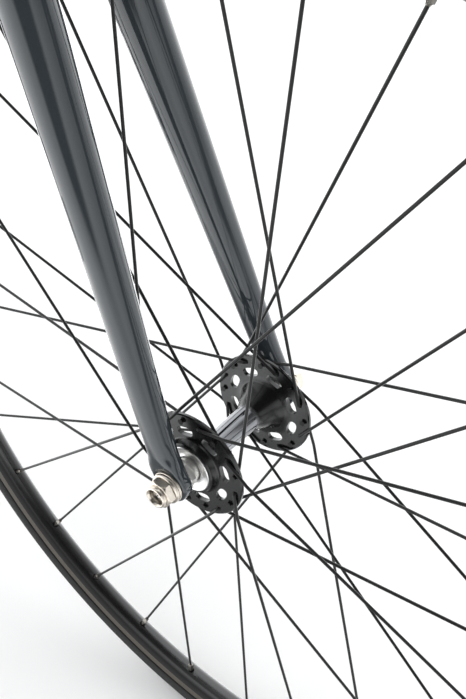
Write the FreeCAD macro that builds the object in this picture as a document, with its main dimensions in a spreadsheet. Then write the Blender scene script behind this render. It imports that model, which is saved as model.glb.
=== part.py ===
import FreeCAD, Part
import math
import os
import Sketcher
from FreeCAD import Vector as V, Placement, Rotation

# ---------------------------------------------------------------------------
# A brakeless fixed gear bicycle. +X forward, +Y to the rider's left, +Z up.
# Origin on the ground, on the centre plane, midway between the wheels.
# ---------------------------------------------------------------------------
HEAD = 74.0                     # head and seat angle, degrees
PITCH = 12.7                    # chain pitch
RING_T, COG_T, LINKS = 46, 16, 94


def pitch_radius(teeth):
    return PITCH / (2.0 * math.sin(math.pi / teeth))


def chain_links(centre):
    big, small = pitch_radius(RING_T), pitch_radius(COG_T)
    g = math.asin((big - small) / centre)
    return (2.0 * centre * math.cos(g) / PITCH + RING_T * (math.pi + 2 * g) / (2 * math.pi)
            + COG_T * (math.pi - 2 * g) / (2 * math.pi))


# the rear axle sits in the track ends where the chain is just taut
lo, hi = 370.0, 430.0
for _ in range(60):
    mid = 0.5 * (lo + hi)
    if chain_links(mid) < LINKS:
        lo = mid
    else:
        hi = mid
CHAINSTAY = 0.5 * (lo + hi)

doc = FreeCAD.newDocument("fixed_gear_bike")
sheet = doc.addObject("Spreadsheet::Sheet", "dims")
ROWS = [
    # wheels
    ("hub_height", 336.5), ("tyre_ring", 324.3), ("tyre_section", 12.2), ("tyre_cavity", 9.9), ("tube_section", 9.3),
    ("tube_inner", 8.5), ("bead_half", 7.0), ("bead_slot", 4.6), ("rim_edge_r", 317.0), ("rim_bed_r", 299.0),
    ("rim_half", 10.3), ("rim_wall", 1.6), ("rim_well_r", 310.0), ("nipple_hole", 2.45), ("nipple_side", 0.88),
    ("valve_r", 3.0), ("valve_hole", 3.3), ("spoke_r", 1.0), ("nipple_r", 2.0), ("nipple_head", 3.0),
    # front hub
    ("hub_barrel_r", 8.6), ("hub_cone_r", 17.6), ("flange_r", 36.2), ("flange_y", 35.1), ("flange_thick", 2.9),
    ("spoke_circle", 31.7), ("spoke_hole", 1.35), ("boss_r", 19.6), ("front_boss_r", 17.9), ("boss_end", 41.2), ("race_r", 12.4), ("cap_r", 15.6),
    ("cap_hole", 8.7), ("ball_r", 2.4), ("ball_ring", 9.3), ("axle_r", 4.5), ("axle_half", 71.6), ("cone_r", 7.9),
    ("drop_half", 50.0), ("drop_out", 57.0), ("washer_r", 10.9), ("nut_flat", 7.5), ("nose_r", 6.6), ("nut_end", 73.5),
    ("nut_bore", 4.56),
    # rear hub
    ("rear_flange_y", 32.0), ("rear_boss_end", 37.0), ("rear_drop_half", 60.0), ("rear_drop_out", 67.0),
    ("rear_axle_r", 5.0), ("axle_end_r", 4.6), ("rear_axle_half", 83.0), ("rear_nut_bore", 5.06), ("rear_nut_end", 77.0), ("chainline", 43.0),
    ("cog_thread_r", 17.4), ("cog_bore", 17.42), ("sprocket_thick", 2.9), ("lockring_r", 20.5),
    # frame
    ("head_r", 19.2), ("head_bore", 17.0), ("head_len", 130.0), ("top_r", 15.5), ("down_r", 18.5), ("seat_r", 15.9),
    ("seat_bore", 13.66), ("seat_len", 540.0), ("tube_wall", 1.8), ("shell_r", 20.0), ("shell_bore", 17.0), ("shell_half", 34.0),
    ("stay_top_r", 8.2), ("stay_low_r", 6.8), ("bridge_r", 6.0), ("plate_thick", 7.0), ("bb_drop", 55.0),
    ("chainstay_len", round(CHAINSTAY, 5)), ("front_centre", 567.0),
    # headset, steerer, bars
    ("steerer_r", 14.3), ("steerer_bore", 11.9), ("rake", 34.0), ("crown_top", 372.0), ("crown_deep", 26.0), ("crown_half_y", 48.6),
    ("crown_half_x", 17.8), ("cup_r", 22.4), ("cup_high", 11.0), ("bearing_out", 19.0), ("bearing_in", 14.36), ("spacer_r", 17.5),
    ("stem_r", 18.6), ("stem_high", 40.0), ("stem_reach", 90.0), ("stem_bar_r", 15.2), ("clamp_r", 21.4), ("clamp_bore", 15.95),
    ("clamp_half", 22.0), ("bar_r", 11.9), ("bar_bore", 9.9), ("bar_mid_r", 15.9), ("tape_r", 14.6), ("tape_bore", 12.0),
    # seat
    ("post_r", 13.6), ("post_bore", 11.6), ("rail_r", 3.5), ("rail_side", 22.0), ("collar_r", 20.2), ("collar_high", 15.0),
    # drive
    ("spindle_r", 8.5), ("cup_bore", 8.56), ("bb_lip", 3.0), ("ring_inner", 54.0), ("bolt_circle", 65.0), ("bolt_hole", 5.05),
    ("crank_len", 165.0), ("crank_boss_r", 18.5), ("crank_eye_r", 14.5), ("spider_thick", 5.4), ("pedal_axle_r", 5.0),
    ("pedal_bore", 5.06), ("pedal_sleeve", 9.5), ("pedal_long", 94.0), ("pedal_wide", 64.0), ("pedal_high", 20.0),
]
NUM = {}
for n, (alias, number) in enumerate(ROWS):
    sheet.set("A%d" % (n + 1), alias)
    sheet.set("B%d" % (n + 1), "%.6g" % number if alias != "chainstay_len" else "%.5f" % number)
    sheet.setAlias("B%d" % (n + 1), alias)
doc.recompute()
for alias, number in ROWS:
    NUM[alias] = float(sheet.get(alias))


class Q:
    """A size with its number and the sheet expression that drives it."""

    def __init__(self, number, text):
        self.n, self.e = float(number), text

    def _join(self, other, op, flip=False):
        o = other if isinstance(other, Q) else Q(other, "%.6g" % other)
        a, b = (o, self) if flip else (self, o)
        n = {"+": a.n + b.n, "-": a.n - b.n, "*": a.n * b.n, "/": a.n / b.n if b.n else 0.0}[op]
        return Q(n, "(%s %s %s)" % (a.e, op, b.e))

    def __add__(self, o): return self._join(o, "+")
    def __radd__(self, o): return self._join(o, "+", True)
    def __sub__(self, o): return self._join(o, "-")
    def __rsub__(self, o): return self._join(o, "-", True)
    def __mul__(self, o): return self._join(o, "*")
    def __rmul__(self, o): return self._join(o, "*", True)
    def __truediv__(self, o): return self._join(o, "/")
    def __neg__(self): return self._join(-1.0, "*")


def d(alias):
    return Q(NUM[alias], "dims." + alias)


def q(x):
    return x if isinstance(x, Q) else Q(x, "%.6g" % x)


NODES = {}


def node(obj, name):
    obj.Label = name
    NODES[name] = obj
    return obj


def bind(obj, **sizes):
    for key, size in sizes.items():
        if isinstance(size, Q):
            obj.setExpression(key, size.e)
        else:
            setattr(obj, key, size)


# --- sketches and bodies -----------------------------------------------------
def body(name):
    return doc.addObject("PartDesign::Body", name)


def origin(b, role):
    for f in b.Origin.OriginFeatures:
        if f.Role == role:
            return f


def poly(b, role, *loops, name="profile", offset=None):
    """A closed, fully dimensioned polygon sketch (one or more loops) on an origin plane of the body."""
    sk = b.newObject("Sketcher::SketchObject", name)
    sk.AttachmentSupport = (origin(b, role), [""])
    sk.MapMode = "FlatFace"
    if offset is not None:
        sk.AttachmentOffset = offset
    geo = 0
    for loop in loops:
        pts = [(q(a), q(c)) for a, c in loop]
        k = len(pts)
        first = geo
        sk.addGeometry([Part.LineSegment(V(pts[i][0].n, pts[i][1].n, 0), V(pts[(i + 1) % k][0].n, pts[(i + 1) % k][1].n, 0))
                        for i in range(k)], False)
        sk.addConstraint([Sketcher.Constraint("Coincident", first + i, 2, first + (i + 1) % k, 1) for i in range(k)])
        for i in range(k):
            for kind, size, axis in (("DistanceX", pts[i][0], -2), ("DistanceY", pts[i][1], -1)):
                if abs(size.n) < 1e-7:
                    sk.addConstraint(Sketcher.Constraint("PointOnObject", first + i, 1, axis))
                    continue
                if size.n > 0:
                    c = sk.addConstraint(Sketcher.Constraint(kind, -1, 1, first + i, 1, size.n))
                    sk.setExpression("Constraints[%d]" % c, size.e)
                else:
                    c = sk.addConstraint(Sketcher.Constraint(kind, first + i, 1, -1, 1, -size.n))
                    sk.setExpression("Constraints[%d]" % c, (-size).e)
        geo += k
    return sk


def disc(b, role, circles, name="circles", offset=None):
    """Circles (centre x, centre y, radius) on an origin plane of the body."""
    sk = b.newObject("Sketcher::SketchObject", name)
    sk.AttachmentSupport = (origin(b, role), [""])
    sk.MapMode = "FlatFace"
    if offset is not None:
        sk.AttachmentOffset = offset
    for i, (x, y, r) in enumerate(circles):
        x, y, r = q(x), q(y), q(r)
        sk.addGeometry(Part.Circle(V(x.n, y.n, 0), V(0, 0, 1), r.n), False)
        c = sk.addConstraint(Sketcher.Constraint("Radius", i, r.n))
        sk.setExpression("Constraints[%d]" % c, r.e)
        for kind, size, axis in (("DistanceX", x, -2), ("DistanceY", y, -1)):
            if abs(size.n) < 1e-7:
                sk.addConstraint(Sketcher.Constraint("PointOnObject", i, 3, axis))
            elif size.n > 0:
                c = sk.addConstraint(Sketcher.Constraint(kind, -1, 1, i, 3, size.n))
                sk.setExpression("Constraints[%d]" % c, size.e)
            else:
                c = sk.addConstraint(Sketcher.Constraint(kind, i, 3, -1, 1, -size.n))
                sk.setExpression("Constraints[%d]" % c, (-size).e)
    return sk


def turned(name, role, *loops):
    """A solid of revolution about the sketch's own vertical axis."""
    b = body(name)
    sk = poly(b, role, *loops)
    rev = b.newObject("PartDesign::Revolution", name + "_turn")
    rev.Profile = sk
    rev.ReferenceAxis = (sk, ["V_Axis"])
    rev.Angle = 360.0
    sk.Visibility = False
    b.Tip = rev
    return b


def wheel_turned(name, *loops):
    """Turned about Y: points are (radius, y)."""
    return turned(name, "XY_Plane", *loops)


def post_turned(name, *loops):
    """Turned about Z: points are (radius, z)."""
    return turned(name, "XZ_Plane", *loops)


def pad(b, sk, length, midplane=False, reverse=False):
    p = b.newObject("PartDesign::Pad", b.Name + "_pad")
    p.Profile = sk
    bind(p, Length=q(length))
    p.Midplane = midplane
    p.Reversed = reverse
    b.Tip = p
    return p


def pocket(b, sk, length=None, reverse=False):
    """A cut; the side is turned over when it meets no material."""
    doc.recompute()
    before = b.Shape.Volume
    p = b.newObject("PartDesign::Pocket", b.Name + "_cut")
    p.Profile = sk
    if length is None:
        p.Type = 1
    else:
        bind(p, Length=q(length))
    p.Reversed = reverse
    b.Tip = p
    doc.recompute()
    if b.Shape.isNull() or b.Shape.Volume > before - 0.01:
        raise RuntimeError("cut without effect in " + b.Name)
    return p


def around(b, feature, axis, count):
    pat = b.newObject("PartDesign::PolarPattern", b.Name + "_ring")
    pat.Originals = [feature]
    pat.Axis = (origin(b, axis), [""])
    pat.Angle = 360.0
    pat.Occurrences = count
    b.Tip = pat
    doc.recompute()
    return pat


# --- primitives ----------------------------------------------------------------
def cylinder(name, r, length, place):
    o = doc.addObject("Part::Cylinder", name)
    bind(o, Radius=q(r), Height=q(length))
    o.Placement = place
    return o


def cone(name, r1, r2, length, place):
    o = doc.addObject("Part::Cone", name)
    bind(o, Radius1=q(r1), Radius2=q(r2), Height=q(length))
    o.Placement = place
    return o


def sphere(name, r, at):
    o = doc.addObject("Part::Sphere", name)
    bind(o, Radius=q(r))
    o.Placement = Placement(at, Rotation())
    return o


def box(name, sx, sy, sz, place):
    """A box centred on its placement."""
    o = doc.addObject("Part::Box", name)
    bind(o, Length=q(sx), Width=q(sy), Height=q(sz))
    o.Placement = place.multiply(Placement(V(-q(sx).n / 2, -q(sy).n / 2, -q(sz).n / 2), Rotation()))
    return o


def cut(name, base, *tools):
    o = doc.addObject("Part::Cut", name)
    o.Base = base
    o.Tool = tools[0] if len(tools) == 1 else fuse(name + "_tools", *tools)
    return o


def fuse(name, *shapes):
    o = doc.addObject("Part::MultiFuse", name)
    o.Shapes = list(shapes)
    o.Refine = True
    return o


def common(name, a, b):
    o = doc.addObject("Part::Common", name)
    o.Base, o.Tool = a, b
    return o


def group(name, *objs):
    o = doc.addObject("Part::Compound", name)
    o.Links = list(objs)
    return o


def mirrored(name, src):
    o = doc.addObject("Part::Mirroring", name)
    o.Source = src
    o.Normal = V(0, 1, 0)
    o.Base = V(0, 0, 0)
    return o


def ellipse(name, a, b, place):
    """An ellipse in the local XY plane, a along X and b along Y."""
    a, b = q(a), q(b)
    o = doc.addObject("Part::Ellipse", name)
    if a.n >= b.n:
        bind(o, MajorRadius=a, MinorRadius=b)
        o.Placement = place
    else:
        bind(o, MajorRadius=b, MinorRadius=a)
        o.Placement = place.multiply(Placement(V(0, 0, 0), Rotation(V(0, 0, 1), 90)))
    return o


def loft(name, sections, ruled=False):
    o = doc.addObject("Part::Loft", name)
    o.Sections = sections
    o.Solid = True
    o.Ruled = ruled
    return o


def along(p0, p1):
    """A placement at p0 whose Z points at p1."""
    return Placement(p0, Rotation(V(0, 0, 1), p1.sub(p0)))


def solid(name, shape):
    o = doc.addObject("Part::Feature", name)
    o.Shape = shape
    return o


ALONG_Y = Rotation(V(1, 0, 0), -90)        # local Z to +Y

# --- main points -----------------------------------------------------------------
ZH = NUM["hub_height"]
CS = NUM["chainstay_len"]
CSX = math.sqrt(CS ** 2 - NUM["bb_drop"] ** 2)
WB = CSX + NUM["front_centre"]
REAR, FRONT = V(-WB / 2, 0, ZH), V(WB / 2, 0, ZH)
BB = V(-WB / 2 + CSX, 0, ZH - NUM["bb_drop"])
TILT = Rotation(V(0, 1, 0), -(90.0 - HEAD))
FORK = Placement(FRONT, TILT)              # fork frame: origin at the front axle, Z along the steerer
SEAT = Placement(BB, TILT)                 # seat frame: origin at the crank axis, Z along the seat tube
RAKE = NUM["rake"]


def fk_pt(x, y, z):
    return FORK.multVec(V(x, y, z))


def st_pt(x, y, z):
    return SEAT.multVec(V(x, y, z))


def fork_at(z, x=None, y=0.0):
    """A placement in the fork frame, on the steering axis unless x is given."""
    return FORK.multiply(Placement(V(-RAKE if x is None else x, y, z), Rotation()))


def seat_at(z, x=0.0, y=0.0):
    return SEAT.multiply(Placement(V(x, y, z), Rotation()))


CT = NUM["crown_top"]
HT0 = CT + 13.0                             # bottom end of the head tube along the steerer
HT1 = HT0 + NUM["head_len"]
TOP_AT, DOWN_AT, TOP_SEAT = HT1 - 24.0, HT0 + 44.0, 505.0

# =========================== frame =================================================
head_out = cylinder("head_out", d("head_r"), d("head_len"), fork_at(HT0))
head_hole = cylinder("head_hole", d("head_bore"), d("head_len") + 2.0, fork_at(HT0 - 1.0))
node(cut("head_tube", head_out, head_hole), "head_tube")
head_cope = cylinder("head_cope", d("head_r"), d("head_len") + 200.0, fork_at(HT0 - 100.0))
seat_cope = cylinder("seat_cope", d("seat_r"), d("seat_len") + 120.0, seat_at(-30.0))
shell_cope = cylinder("shell_cope", d("shell_r"), d("shell_half") * 2.0 + 60.0, Placement(BB + V(0, -64, 0), ALONG_Y))


def tube(name, p0, p1, r, *copes):
    length = (p1 - p0).Length
    out = cylinder(name + "_out", r, length, along(p0, p1))
    inn = cylinder(name + "_in", r - d("tube_wall"), length + 2.0, along(p0 - (p1 - p0) * (1.0 / length), p1))
    return cut(name, cut(name + "_pipe", out, inn), *copes)


P_TOP = fk_pt(-RAKE, 0, TOP_AT)
P_DOWN = fk_pt(-RAKE, 0, DOWN_AT)
P_TS = st_pt(0, 0, TOP_SEAT)
node(tube("top_tube", P_TS, P_TOP, d("top_r"), head_cope, seat_cope), "top_tube")
node(tube("down_tube", BB, P_DOWN, d("down_r"), head_cope, shell_cope, seat_cope), "down_tube")
seat_out = cylinder("seat_out", d("seat_r"), d("seat_len"), seat_at(0))
seat_in = cylinder("seat_in", d("seat_bore"), d("seat_len") + 10.0, seat_at(-5))
node(cut("seat_tube", cut("seat_pipe", seat_out, seat_in), shell_cope), "seat_tube")
shell_out = cylinder("shell_out", d("shell_r"), d("shell_half") * 2.0, Placement(BB + V(0, -34, 0), ALONG_Y))
shell_in = cylinder("shell_in", d("shell_bore"), d("shell_half") * 2.0 + 2.0, Placement(BB + V(0, -35, 0), ALONG_Y))
node(cut("bottom_bracket_shell", shell_out, shell_in), "bottom_bracket_shell")

# chainstays: oval at the bottom bracket, close to the tyre, then flaring out to the track ends
cs_dir = (REAR - BB) * (1.0 / CS)
CSROT = Rotation(V(0, 0, 1), cs_dir)
cs_rows = [(12, 25.2, 13.0, 8.2), (60, 25.2, 12.4, 8.2), (115, 27.6, 11.4, 8.4), (200, 38.6, 10.2, 8.4),
           (290, 51.6, 9.2, 7.8), (335, 58.6, 8.8, 7.0), (CS - 43.0, 63.2, 8.6, 3.5)]
# the section's first axis stands up in the side view, its second is across the bike
up_x = CSROT.inverted().multVec(V(0, 1, 0))
CSSPIN = Rotation(V(0, 0, 1), math.degrees(math.atan2(up_x.y, up_x.x)))
secs = []
for i, (s, y, hh, hw) in enumerate(cs_rows):
    at = BB + cs_dir * s + V(0, -y, 0)
    secs.append(ellipse("cs_sec%d" % i, hw, hh, Placement(at, CSROT.multiply(CSSPIN))))
hollow_secs = []
for i, (s, y, hh, hw) in enumerate(cs_rows[1:6]):
    hollow_secs.append(ellipse("cs_hollow%d" % i, hw - 1.6, hh - 1.6, Placement(BB + cs_dir * s + V(0, -y, 0), CSROT.multiply(CSSPIN))))
cs_right = cut("chainstay_right", cut("cs_solid", loft("cs_loft", secs), shell_cope), loft("cs_hollow", hollow_secs))
cs_left = mirrored("chainstay_left", cs_right)
node(group("chainstays", cs_right, cs_left), "chainstays")

# seatstays: flattened where they meet the track ends, tapered, with rounded heads beside the seat tube, and a bridge above the tyre
SS_TOP = st_pt(-5.0, -(NUM["seat_r"] + NUM["stay_top_r"] + 0.25), 494.0)
SS_LOW = REAR + V(17.5, -63.5, 31.0)
ss_len = (SS_TOP - SS_LOW).Length
ss_place = along(SS_LOW, SS_TOP)
ss_y = ss_place.Rotation.inverted().multVec(V(0, 1, 0))
ss_spin = Rotation(V(0, 0, 1), math.degrees(math.atan2(ss_y.y, ss_y.x)))
ss_rows = [(0.02, 3.4, 5.9), (12.0, 4.3, 6.3), (30.0, 6.0, 6.6), (55.0, 6.85, 6.9), (ss_len * 0.5, 7.5, 7.55), (ss_len - 4.0, 8.1, 8.15), (ss_len + 3.0, 7.3, 7.35), (ss_len + 6.5, 4.6, 4.65)]
ss_secs = [ellipse("ss_sec%d" % i, across, deep, ss_place.multiply(Placement(V(0, 0, z), ss_spin))) for i, (z, across, deep) in enumerate(ss_rows)]
ss_hollow = [ellipse("ss_hollow%d" % i, across - 1.5, deep - 1.5, ss_place.multiply(Placement(V(0, 0, z), ss_spin))) for i, (z, across, deep) in enumerate(ss_rows[2:6])]
ss_right = cut("seatstay_right", loft("ss_loft", ss_secs), loft("ss_hollow", ss_hollow))
ss_left = mirrored("seatstay_left", ss_right)
ss_dir = (SS_TOP - SS_LOW) * (1.0 / ss_len)
br = SS_LOW + ss_dir * 331.0
bridge_bar = cylinder("bridge_bar", d("bridge_r"), 2.0 * abs(br.y), Placement(V(br.x, -abs(br.y), br.z), ALONG_Y))
ss_cope_r = cone("ss_cope_r", d("stay_low_r") + 0.15, d("stay_top_r") + 0.15, ss_len, along(SS_LOW, SS_TOP))
ss_cope_l = mirrored("ss_cope_l", ss_cope_r)
bridge = cut("stay_bridge", bridge_bar, ss_cope_r, ss_cope_l)
node(group("seatstays", ss_right, ss_left, bridge), "seatstays")

# track ends: plates with a slot that opens to the rear
te = body("track_end_right")
te_sk = poly(te, "XZ_Plane", [(-28, 5.1), (-28, 11.5), (-24, 13.5), (-6, 15.5), (3, 18), (8, 27), (12.4, 34.07), (22.6, 27.93), (25, 18),
                              (34, 9), (47, 2.2), (47, -15.4), (24, -15.8), (-6, -15.5), (-24, -13.5), (-28, -11.5), (-28, -5.1),
                              (18, -5.1), (21, -3.6), (22.5, 0), (21, 3.6), (18, 5.1)], name="plate")
pad(te, te_sk, d("plate_thick"))
te.Placement = Placement(REAR + V(0, -NUM["rear_drop_half"], 0), Rotation())
doc.recompute()
if te.Shape.BoundBox.YMax > -NUM["rear_drop_half"] + 0.01:
    te_pad = te.Tip
    te_pad.Reversed = True
    doc.recompute()
# the stays end on the plate, so they are notched where the plate runs into them
te_left = mirrored("track_end_left", te)
node(group("track_ends", te, te_left), "track_ends")
for nm in ("chainstays",):
    parts_old = list(NODES[nm].Links)
    right, left = parts_old[0], parts_old[1]
    trimmed = cut(nm + "_end_right", right, te)
    trimmed_l = mirrored(nm + "_end_left", trimmed)
    NODES[nm].Links = [trimmed, trimmed_l] + parts_old[2:]

# headset cups, pressed into the head tube
low_cup = post_turned("lower_cup", [(d("steerer_r") + 1.2, 6.4), (d("head_bore") - 0.02, 6.4), (d("head_bore") - 0.02, -0.01), (d("cup_r") - 1.0, -0.01), (d("cup_r"), -1.5),
                                    (d("cup_r"), -9.0), (d("cup_r") - 0.8, -10.0), (d("bearing_out") + 0.02, -10.0),
                                    (d("bearing_out") + 0.02, -2.0), (d("steerer_r") + 1.2, -2.0)])
low_cup.Placement = fork_at(HT0)
up_cup = post_turned("upper_cup", [(d("steerer_r") + 1.2, -6.4), (d("head_bore") - 0.02, -6.4), (d("head_bore") - 0.02, 0.01), (d("cup_r") - 1.0, 0.01), (d("cup_r"), 1.5),
                                   (d("cup_r"), 9.5), (d("cup_r") - 0.8, 10.5), (d("bearing_out") + 0.02, 10.5),
                                   (d("bearing_out") + 0.02, 2.0), (d("steerer_r") + 1.2, 2.0)])
up_cup.Placement = fork_at(HT1)
node(group("headset_cups", low_cup, up_cup), "headset_cups")

# bottom bracket cups with their sealed bearings
bb_cup = wheel_turned("bb_cup_right", [(d("cup_bore"), -38.4), (15.0, -38.4), (16.0, -37.0), (d("shell_r") - 0.6, -37.0), (d("shell_r"), -36.4),
                                       (d("shell_r"), -34.01), (d("shell_bore") - 0.02, -34.01), (d("shell_bore") - 0.02, -18.0), (d("cup_bore"), -18.0)])
bb_cup.Placement = Placement(BB, Rotation())
bb_cup_l = mirrored("bb_cup_left", bb_cup)
node(group("bottom_bracket_cups", bb_cup, bb_cup_l), "bottom_bracket_cups")

# seat clamp: a split collar with ears at the back and a bolt
sc = post_turned("seat_collar_ring", [(d("seat_r") + 0.03, -9.0), (d("collar_r") - 0.8, -9.0), (d("collar_r"), -8.0), (d("collar_r"), 5.0),
                                      (d("collar_r") - 0.8, 6.0), (d("post_r") + 0.4, 6.0), (d("post_r") + 0.4, 0.02), (d("seat_r") + 0.03, 0.02)])
sc.Placement = seat_at(NUM["seat_len"])
ear = box("collar_ears", 11.0, 17.0, 13.0, seat_at(NUM["seat_len"] - 1.6, -24.5))
slit = box("collar_slit", 30.0, 1.6, 40.0, seat_at(NUM["seat_len"], -21.0))
ear_cut = cylinder("collar_ear_cut", d("collar_r") - 1.5, 60.0, seat_at(NUM["seat_len"] - 30.0))
bolt_bore = cylinder("collar_bolt_bore", 2.6, 40.0, seat_at(NUM["seat_len"] - 1.6, -25.2, -20.0).multiply(Placement(V(0, 0, 0), ALONG_Y)))
collar = cut("seat_collar", fuse("collar_whole", sc, cut("collar_ear_pair", ear, ear_cut)), slit, bolt_bore)
c_bolt = wheel_turned("collar_bolt", [(0, -13.2), (4.2, -13.2), (4.5, -12.8), (4.5, -8.5), (2.5, -8.5), (2.5, 8.5), (4.5, 8.5), (4.5, 11.0), (0, 11.0)])
c_bolt.Placement = seat_at(NUM["seat_len"] - 1.6, -25.2)
node(group("seat_clamp", collar, c_bolt), "seat_clamp")

# seatpost with a rounded head, and the two-piece saddle clamp
POST0, POST1 = 400.0, 628.0
grip0, grip1 = 551.0, 606.0                # the bare length that a stand can hold, a hair thicker than the rest
post = post_turned("seatpost", [(d("post_bore"), POST0), (d("post_r") - 0.1, POST0), (d("post_r") - 0.1, grip0), (d("post_r"), grip0), (d("post_r"), grip1),
                                (d("post_r") - 0.4, grip1), (d("post_r") - 0.4, POST1 - 4.0), (d("post_r") - 1.2, POST1),
                                (0, POST1), (0, POST1 - 6.0), (d("post_bore"), POST1 - 6.0)])
post.Placement = SEAT
node(post, "seatpost")
RAIL = st_pt(0, 0, 640.0)                   # middle of the rails
RZ = RAIL.z
low_jaw = box("low_jaw", 38.0, 54.0, 11.0, Placement(RAIL + V(0, 0, -5.5), Rotation()))
high_jaw = box("high_jaw", 36.0, 54.0, 7.0, Placement(RAIL + V(0, 0, 3.9), Rotation()))
grooves = [cylinder("groove%d" % i, d("rail_r") + 0.04, 80.0, along(RAIL + V(-40, s * NUM["rail_side"], 0), RAIL + V(40, s * NUM["rail_side"], 0)))
           for i, s in enumerate((-1, 1))]
post_cut = cylinder("post_cut", d("post_r") + 0.02, 60.0, seat_at(POST1 - 60.0))
jaw_hole = cylinder("jaw_hole", 3.2, 60.0, Placement(RAIL + V(0, 0, -30), Rotation()))
jaw_l = cut("clamp_low", low_jaw, grooves[0], grooves[1], post_cut, jaw_hole)
jaw_h = cut("clamp_high", high_jaw, grooves[0], grooves[1], jaw_hole)
jaw_gap = box("jaw_gap", 60.0, 80.0, 1.2, Placement(RAIL + V(0, 0, 0), Rotation()))
jaw_lg = cut("clamp_lower_jaw", jaw_l, jaw_gap)
jaw_hg = cut("clamp_upper_jaw", jaw_h, jaw_gap)
j_bolt = post_turned("clamp_bolt", [(0, 13.4), (5.0, 13.4), (5.4, 12.9), (5.4, 7.4), (3.1, 7.4), (3.1, -8.6), (0, -8.6)])
j_bolt.Placement = Placement(RAIL, Rotation())
jaw_lgb = cut("clamp_lower_seat", jaw_lg, cylinder("clamp_bolt_room", 3.14, 40.0, Placement(RAIL + V(0, 0, -8.6), Rotation())))
node(group("saddle_clamp", jaw_lgb, jaw_hg, j_bolt), "saddle_clamp")


def run(points, radii):
    """A wire of straight runs joined by tangent arcs at the inner points."""
    pts = [V(*p) if not isinstance(p, FreeCAD.Vector) else p for p in points]
    edges, last = [], pts[0]
    for i in range(1, len(pts) - 1):
        a = (pts[i - 1] - pts[i]).normalize()
        b = (pts[i + 1] - pts[i]).normalize()
        half = a.getAngle(b) / 2.0
        t = radii[i - 1] / math.tan(half)
        p0, p1 = pts[i] + a * t, pts[i] + b * t
        m = (a + b).normalize()
        centre = pts[i] + m * (radii[i - 1] / math.sin(half))
        if (p0 - last).Length > 1e-6:
            edges.append(Part.LineSegment(last, p0).toShape())
        edges.append(Part.Arc(p0, centre - m * radii[i - 1], p1).toShape())
        last = p1
    if (pts[-1] - last).Length > 1e-6:
        edges.append(Part.LineSegment(last, pts[-1]).toShape())
    return Part.Wire(edges)


def pipe(wire, r):
    p0 = wire.Edges[0].valueAt(wire.Edges[0].FirstParameter)
    t0 = wire.Edges[0].tangentAt(wire.Edges[0].FirstParameter)
    ring = Part.Wire([Part.Circle(p0, t0, r).toShape()])
    return wire.makePipeShell([ring], True, False)


def pipe_object(name, points, radii, r):
    """A rod along straight runs and arcs, swept from a circle bound to the sheet."""
    wire = run(points, radii)
    path = solid(name + "_path", wire)
    p0 = wire.Edges[0].valueAt(wire.Edges[0].FirstParameter)
    t0 = wire.Edges[0].tangentAt(wire.Edges[0].FirstParameter)
    ring = doc.addObject("Part::Circle", name + "_ring")
    bind(ring, Radius=q(r))
    ring.Placement = Placement(p0, Rotation(V(0, 0, 1), t0))
    sw = doc.addObject("Part::Sweep", name)
    sw.Sections = [ring]
    sw.Spine = (path, ["Edge%d" % (i + 1) for i in range(len(wire.Edges))])
    sw.Solid = True
    sw.Frenet = False
    sw.Transition = "Right corner"
    return sw


# saddle: two rails, a moulded shell, and a padded cover over it
SX, SZ0 = RAIL.x - 4.0, RZ + 27.0          # middle of the saddle, underside of the cover
rails = []
for i, s in enumerate((-1, 1)):
    y = s * NUM["rail_side"]
    rails.append(pipe_object("saddle_rail_%d" % i, [(SX + 113, s * 9.0, SZ0 - 2.6), (SX + 104, s * 11.0, RZ + 1.0), (SX + 52, y, RZ), (SX - 44, y, RZ),
                                                    (SX - 92, s * 30.0, SZ0 - 14.0), (SX - 97, s * 31.0, SZ0 - 2.6)],
                             [7.0, 60.0, 60.0, 7.0], d("rail_r")))
node(group("saddle_rails", *rails), "saddle_rails")
sad_rows = [(134, 9, 7, -6), (128, 16, 13, -5), (100, 20, 18, -1.5), (50, 26, 19.5, 0), (0, 41, 19, 0), (-50, 62, 18.5, 1.5), (-95, 71, 18.5, 5),
            (-122, 62, 17, 8), (-134, 42, 9, 10)]


def saddle_loft(name, grow):
    secs = [ellipse("%s_s%d" % (name, i), max(h + grow, 3.0), max(w + grow, 5.0), Placement(V(SX + x, 0, SZ0 + z), Rotation(V(0, 1, 0), 90)))
            for i, (x, w, h, z) in enumerate(sad_rows)]
    return loft(name, secs)


under = box("under_saddle", 320.0, 200.0, 60.0, Placement(V(SX, 0, SZ0 - 30.0), Rotation()))
node(cut("saddle_cover", saddle_loft("saddle_form", 0.0), under), "saddle_cover")
shell_slab = box("shell_slab", 320.0, 200.0, 5.0, Placement(V(SX, 0, SZ0 - 2.5), Rotation()))
node(cut("saddle_shell", common("saddle_tray", saddle_loft("saddle_inner", -2.0), shell_slab), NODES["saddle_rails"]), "saddle_shell")

# rear axle, cones with locknuts, and track nuts
end_r, end_y = d("axle_end_r"), d("rear_nut_end") + 0.4
ra_half = [(end_r - 0.6, d("rear_axle_half")), (end_r, d("rear_axle_half") - 0.6), (end_r, end_y), (d("rear_axle_r"), end_y)]
ra = wheel_turned("rear_axle", [(0, d("rear_axle_half"))] + ra_half + [(r, -y) for r, y in ra_half[::-1]] + [(0, -d("rear_axle_half"))])
ra.Placement = Placement(REAR, Rotation())
node(ra, "rear_axle")


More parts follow.
